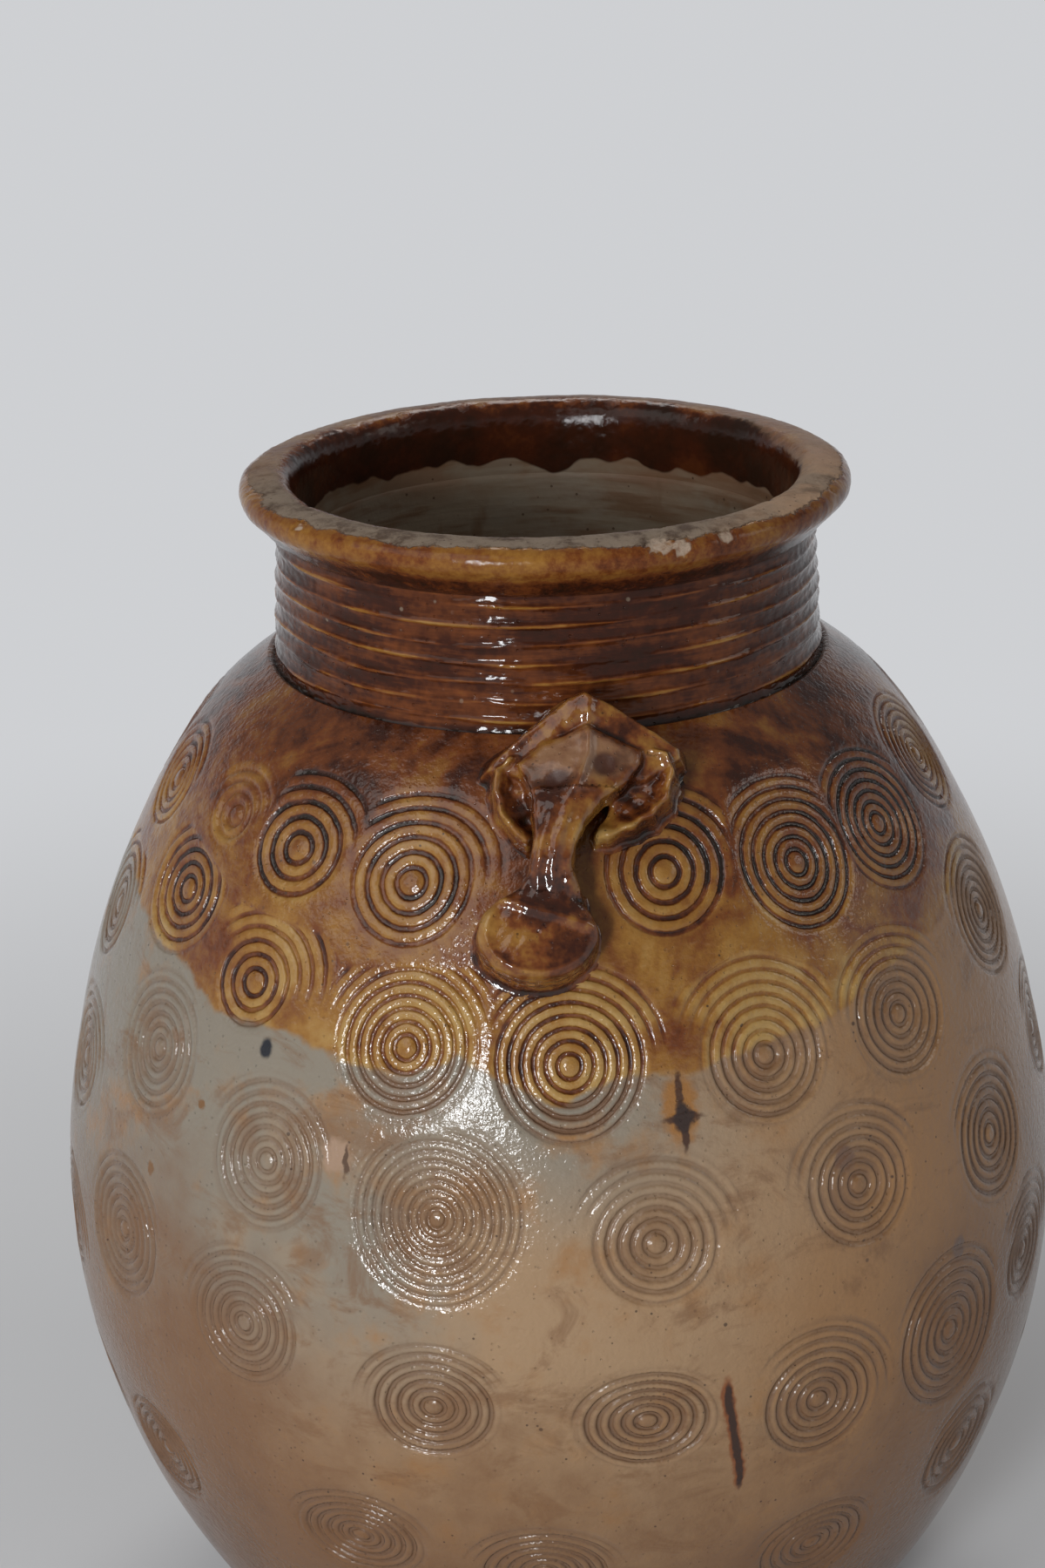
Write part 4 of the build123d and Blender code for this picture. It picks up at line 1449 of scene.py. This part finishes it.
def make_dark_glaze():
    """Thick red-brown glaze of the neck, thinned to amber along the throwing ridges."""
    material, recipe, surface = new_material("dark_glaze")
    place = recipe.place()
    crest = recipe.attribute("crest")
    cloud = recipe.noise(recipe.scaled(place, 1, 2.2), 30.0, detail=4.0, roughness=0.6)
    streak = recipe.noise(recipe.scaled(place, 1, 9), 24.0, detail=4.0, roughness=0.65)
    fine = recipe.noise(place, 2.4, detail=3.0)
    height = recipe.parts(place)["Z"]
    thickness = recipe.add(
        recipe.step(cloud, 0.3, 0.7, 0.68, 0.88),
        recipe.step(streak, 0.42, 0.68, 0.0, -0.12),
        recipe.step(fine, 0.3, 0.7, -0.03, 0.05),
        recipe.times(recipe.step(crest, 0.30, 0.80), recipe.step(streak, 0.33, 0.62, -0.10, -0.46)),
        recipe.step(height, 321.5, 318.5, 0.0, 0.22),
    )
    colour = amber_of(recipe, thickness)
    flecks = recipe.times(specks(recipe, place, 5.0, 0.16), recipe.step(recipe.noise(place, 22.0), 0.45, 0.6))
    colour = recipe.mix(recipe.times(flecks, 0.7), colour, rim_buff)
    bumps = [
        (recipe.noise(recipe.scaled(place, 1, 3), 5.0, detail=1.0), 0.30),
        (fine, 0.05),
        (specks(recipe, place, 2.4, 0.2), -0.25),
    ]
    finish_surface(recipe, surface, colour, recipe.number(cloud, 0.06, 0.14), bumps, dark_gloss)
    return material


def make_rim_glaze():
    """Amber on the lip, rubbed to rough buff clay on top, and dark again inside the mouth."""
    material, recipe, surface = new_material("rim_glaze")
    place = recipe.place()
    past_lip = recipe.attribute("past_lip")
    chipped = recipe.attribute("chipped")
    wide = recipe.noise(place, 18.0, detail=4.0, roughness=0.65)
    fine = recipe.noise(place, 1.6, detail=4.0, roughness=0.7)
    across = recipe.add(past_lip, recipe.swing(wide, 9.0), recipe.swing(fine, 3.0))
    thickness = recipe.add(
        recipe.step(wide, 0.3, 0.7, 0.30, 0.56),
        recipe.step(recipe.noise(place, 6.0, detail=4.0, roughness=0.65), 0.42, 0.68, 0.0, 0.16),
        recipe.step(fine, 0.3, 0.7, -0.06, 0.08),
        # Painted shade: thicker, darker glaze on the underside of the lip
        recipe.step(past_lip, -9.0, -13.0, 0.0, 0.32),
    )
    dark = recipe.step(wide, 0.3, 0.7, 0.74, 0.96)
    thickness = recipe.number(recipe.step(across, 8.0, 14.0), thickness, dark)
    glazed = amber_of(recipe, thickness)
    on_bore = recipe.step(past_lip, 16.0, 18.0)
    bare, slip = bore_slip(recipe, place)
    glazed = recipe.mix(recipe.times(on_bore, bare), glazed, slip)
    parts = recipe.parts(place)
    inner_end = recipe.math("SUBTRACT", across, recipe.step(parts["X"], 35.0, 75.0, 0.0, 4.0))
    worn = recipe.times(recipe.step(across, 0.4, 1.4), recipe.step(inner_end, 10.5, 8.0))
    worn = recipe.times(worn, recipe.step(parts["Y"], 30.0, -30.0, 0.3, 1.0))
    grime = recipe.noise(place, 7.0, detail=5.0, roughness=0.7)
    clay = recipe.mix(recipe.step(grime, 0.42, 0.66), rim_buff, rim_grime)
    tan = recipe.times(recipe.step(parts["X"], 30.0, 75.0), recipe.step(wide, 0.38, 0.6, 0.2, 0.8))
    clay = recipe.mix(tan, clay, rim_tan)
    clay = recipe.mix(recipe.times(specks(recipe, place, 2.0, 0.2), 0.8), clay, iron_spot)
    colour = recipe.mix(worn, glazed, clay)
    bitten = recipe.times(recipe.step(chipped, 0.5, 0.95), recipe.step(fine, 0.3, 0.55, 0.35, 1.0))
    colour = recipe.mix(bitten, colour, chip_white)
    rough = recipe.most(worn, chipped)
    bumps = [
        (recipe.times(grime, rough), 0.5),
        (recipe.times(fine, recipe.add(0.25, rough)), 0.35),
    ]
    finish_surface(recipe, surface, colour, recipe.number(rough, 0.15, 0.75), bumps, dark_gloss)
    return material


def turning_lines(recipe, place):
    """Fine level lines that the fingers left inside."""
    return recipe.noise(recipe.scaled(place, 0.12, 1), 3.2, detail=3.0)


def bore_slip(recipe, place):
    """How bare of glaze the inside is, below a ragged line, and the colour of the thin grey slip."""
    height = recipe.parts(place)["Z"]
    flat = recipe.scaled(place, 1, 0.35)
    drip = recipe.swing(recipe.noise(flat, 24.0, detail=2.5), 24.0)
    cloud = recipe.noise(recipe.scaled(place, 1, 1.8), 28.0, detail=4.0, roughness=0.6)
    rings = turning_lines(recipe, place)
    slip = recipe.mix(recipe.step(rings, 0.42, 0.66), lining_grey, lining_brown)
    slip = recipe.mix(recipe.times(recipe.step(cloud, 0.48, 0.66), 0.5), slip, celadon_grey)
    level = recipe.add(height, drip)
    blush = recipe.times(recipe.step(level, 338.0, 352.0), recipe.step(cloud, 0.38, 0.6, 0.65, 0.15))
    slip = recipe.mix(blush, slip, lining_pink)
    stains = recipe.step(recipe.noise(flat, 11.0, detail=3.0), 0.60, 0.72, 0.0, 0.7)
    slip = recipe.mix(stains, slip, lining_brown)
    slip = recipe.mix(recipe.times(specks(recipe, place, 4.0, 0.14), 0.8), slip, iron_spot)
    return recipe.step(level, 355.5, 354.5), slip


def make_lining():
    """Inside of the jar: dark glaze that ends in a ragged line below the mouth, then thin grey slip."""
    material, recipe, surface = new_material("lining")
    place = recipe.place()
    bare, slip = bore_slip(recipe, place)
    rings = turning_lines(recipe, place)
    thickness = recipe.step(recipe.noise(place, 30.0, detail=3.0), 0.3, 0.7, 0.78, 0.92)
    thickness = recipe.add(thickness, recipe.step(rings, 0.4, 0.7, -0.05, 0.05))
    colour = recipe.mix(bare, amber_of(recipe, thickness), slip)
    bumps = [(rings, 0.35), (recipe.noise(place, 2.0, detail=3.0), 0.15)]
    finish_surface(recipe, surface, colour, recipe.number(bare, 0.12, 0.5), bumps, dark_gloss)
    return material


def make_lug_glaze():
    """Amber glaze of the lugs: gold on the edges, dark in the hollows and creases."""
    material, recipe, surface = new_material("lug_glaze")
    place = recipe.place()
    hollow = recipe.attribute("hollow")
    cloud = recipe.noise(place, 13.0, detail=4.0, roughness=0.6)
    fine = recipe.noise(place, 2.2, detail=3.0)
    pad, eye = recipe.attribute("pad"), recipe.attribute("eye")
    thickness = recipe.add(
        recipe.step(cloud, 0.34, 0.64, 0.30, 0.80),
        recipe.step(hollow, 0.0, 0.40, 0.0, 0.24),
        recipe.step(hollow, -0.10, -0.5, 0.0, -0.26),
        recipe.step(fine, 0.3, 0.7, -0.05, 0.06),
    )
    colour = amber_of(recipe, thickness)
    rubbed = recipe.times(pad, recipe.step(cloud, 0.62, 0.42, 0.35, 0.85))
    colour = recipe.mix(rubbed, colour, pad_tan)
    colour = recipe.mix(recipe.times(eye, 0.92), colour, amber_dark)
    colour = recipe.mix(recipe.times(specks(recipe, place, 3.0, 0.15), 0.6), colour, amber_black)
    bumps = [
        (recipe.noise(place, 3.4, detail=3.0), 0.22),
        (fine, 0.14),
        (specks(recipe, place, 1.8, 0.2), -0.25),
    ]
    dull = recipe.most(eye, recipe.times(pad, 0.6))
    roughness = recipe.number(dull, recipe.number(cloud, 0.06, 0.12), 0.42)
    finish_surface(recipe, surface, colour, roughness, bumps, pale_gloss)
    return material


def make_bare_clay():
    """Unglazed stoneware of the foot, with sand grains and scorch."""
    material, recipe, surface = new_material("bare_clay")
    place = recipe.place()
    cloud = recipe.noise(place, 34.0, detail=4.0, roughness=0.6)
    grain = recipe.noise(place, 1.4, detail=4.0, roughness=0.7)
    colour = recipe.mix(recipe.step(cloud, 0.35, 0.7), bare_body, clay_brown)
    colour = recipe.mix(recipe.times(recipe.step(grain, 0.45, 0.75), 0.5), colour, rim_buff)
    colour = recipe.mix(recipe.times(specks(recipe, place, 2.4, 0.2), 0.8), colour, iron_spot)
    bumps = [(grain, 0.35), (recipe.noise(place, 6.0, detail=3.0), 0.4)]
    finish_surface(recipe, surface, colour, recipe.number(cloud, 0.7, 0.85), bumps)
    return material


def backdrop_rays(recipe):
    """1 for the rays that show the backdrop: from the camera, mirrored or passed through, else 0."""
    path = recipe.node("ShaderNodeLightPath").outputs
    return recipe.most(path["Is Camera Ray"], path["Is Glossy Ray"], path["Is Transmission Ray"])


# Floor: its side, and the distances from the jar between which it turns into the backdrop
floor_size = 30000.0
backdrop_reach = (160.0, 900.0)


def make_floor():
    """Plain pale floor that catches the jar's shadow."""
    material, recipe, surface = new_material("pale_floor")
    surface.inputs["Base Color"].default_value = (*floor_colour, 1)
    surface.inputs["Roughness"].default_value = 0.9
    away = recipe.vector("LENGTH", recipe.scaled(recipe.place(), 1, 0))
    backdrop = recipe.node("ShaderNodeEmission", {"Color": (*backdrop_colour, 1), "Strength": 1.0})
    share = recipe.times(recipe.step(away, *backdrop_reach), backdrop_rays(recipe))
    inputs = {0: share, 1: surface.outputs[0], 2: backdrop.outputs[0]}
    both = recipe.node("ShaderNodeMixShader", inputs).outputs[0]
    recipe.feed(material.node_tree.nodes["Material Output"].inputs["Surface"], both)
    half = floor_size / 2
    corners = np.array([(-half, -half, 0), (half, -half, 0), (half, half, 0), (-half, half, 0)])
    mesh = mesh_of("floor", corners, np.array([(0, 1, 2, 3)]))
    mesh.materials.append(material)
    floor = bpy.data.objects.new("floor", mesh)
    bpy.context.scene.collection.objects.link(floor)


class Lamp(NamedTuple):
    """Soft lamp that looks at the jar: its direction, distance, size, power in watts and colour."""

    name: str
    azimuth: float
    elevation: float
    distance: float
    width: float
    height: float
    power: float
    colour: tuple


lamps = [
    Lamp("window", -22, 12, 1500, 180, 380, 13.0, (0.95, 0.98, 1.0)),
    Lamp("left_softbox", -52, 42, 2000, 1700, 1400, 12.0, (1.0, 0.99, 0.97)),
    Lamp("right_softbox", 80, 30, 2100, 700, 700, 3.5, (1.0, 0.96, 0.9)),
    Lamp("back_softbox", 172, 50, 2200, 900, 700, 12.0, (1.0, 0.98, 0.95)),
]
lamp_aim = Vector((0, 0, 220)) * MM
world_strength = 0.21
world_tint = (0.97, 0.98, 1.0)


def make_lights():
    """Lamps round the jar, and an even pale world that shows the backdrop near the horizon."""
    for lamp in lamps:
        light = bpy.data.lights.new(lamp.name, "AREA")
        light.shape = "RECTANGLE"
        light.size, light.size_y = lamp.width * MM, lamp.height * MM
        light.energy, light.color = lamp.power, lamp.colour
        turn, rise = math.radians(lamp.azimuth), math.radians(lamp.elevation)
        way = Vector((math.sin(turn) * math.cos(rise), -math.cos(turn) * math.cos(rise), math.sin(rise)))
        carrier = bpy.data.objects.new(lamp.name, light)
        carrier.location = lamp_aim + way * lamp.distance * MM
        carrier.rotation_euler = way.to_track_quat("Z", "Y").to_euler()
        bpy.context.scene.collection.objects.link(carrier)
    world = bpy.data.worlds.new("studio")
    bpy.context.scene.world = world
    world.use_nodes = True
    recipe = Recipe(world.node_tree)
    rise = recipe.parts(recipe.node("ShaderNodeTexCoord").outputs["Generated"])["Z"]
    light = tuple(world_strength * part for part in world_tint)
    background = world.node_tree.nodes["Background"]
    low_sky = recipe.times(recipe.step(rise, 0.42, 0.12), backdrop_rays(recipe))
    recipe.feed(background.inputs["Color"], recipe.mix(low_sky, light, backdrop_colour))
    background.inputs["Strength"].default_value = 1.0


# Camera of the photograph: lens in millimetres, distance and height in metres, angles in radians
camera_lens = 68.0
camera_distance = 0.8568
camera_height = 0.372
camera_elevation = math.radians(14.37)
camera_pitch = math.radians(20.46)
camera_roll = math.radians(-1.50)
camera_yaw = math.radians(-0.59)
camera_turn = math.radians(-1.4)
sensor_width = 36.0


def make_camera():
    """Camera at the photograph's place."""
    level = Vector((math.sin(camera_yaw), math.cos(camera_yaw), 0))
    ahead = level * math.cos(camera_pitch) - Vector((0, 0, math.sin(camera_pitch)))
    right = Vector((math.cos(camera_yaw), -math.sin(camera_yaw), 0))
    up = right.cross(ahead)
    rolled_right = math.cos(camera_roll) * right + math.sin(camera_roll) * up
    rolled_up = math.cos(camera_roll) * up - math.sin(camera_roll) * right
    back = camera_distance * math.cos(camera_elevation)
    place = Vector((0, -back, camera_distance * math.sin(camera_elevation) + camera_height))
    matrix = Matrix((rolled_right, rolled_up, -ahead)).transposed().to_4x4()
    matrix.translation = place
    lens = bpy.data.cameras.new("camera")
    lens.lens = camera_lens
    lens.sensor_width = sensor_width
    camera = bpy.data.objects.new("camera", lens)
    camera.matrix_world = Matrix.Rotation(camera_turn, 4, "Z") @ matrix
    bpy.context.scene.collection.objects.link(camera)
    bpy.context.scene.camera = camera


lining = make_lining()
pale_glaze = make_wall_glaze("pale_glaze", with_amber=False)
amber_over_pale = make_wall_glaze("amber_over_pale_glaze", with_amber=True)
wall_glazes = {"lower_wall": pale_glaze, "belly_wall": pale_glaze, "shoulder_wall": amber_over_pale}
make_walls(wall_glazes, lining)
make_neck(make_dark_glaze(), lining)
make_rim(make_rim_glaze())
lug_glaze = make_lug_glaze()
for lug_name in lug_turns:
    make_lug(lug_name, lug_glaze)
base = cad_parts["base_slab"]
base.data.materials.clear()
base.data.materials.append(make_bare_clay())
make_floor()
make_lights()
make_camera()
bpy.context.scene.view_settings.view_transform = "Standard"
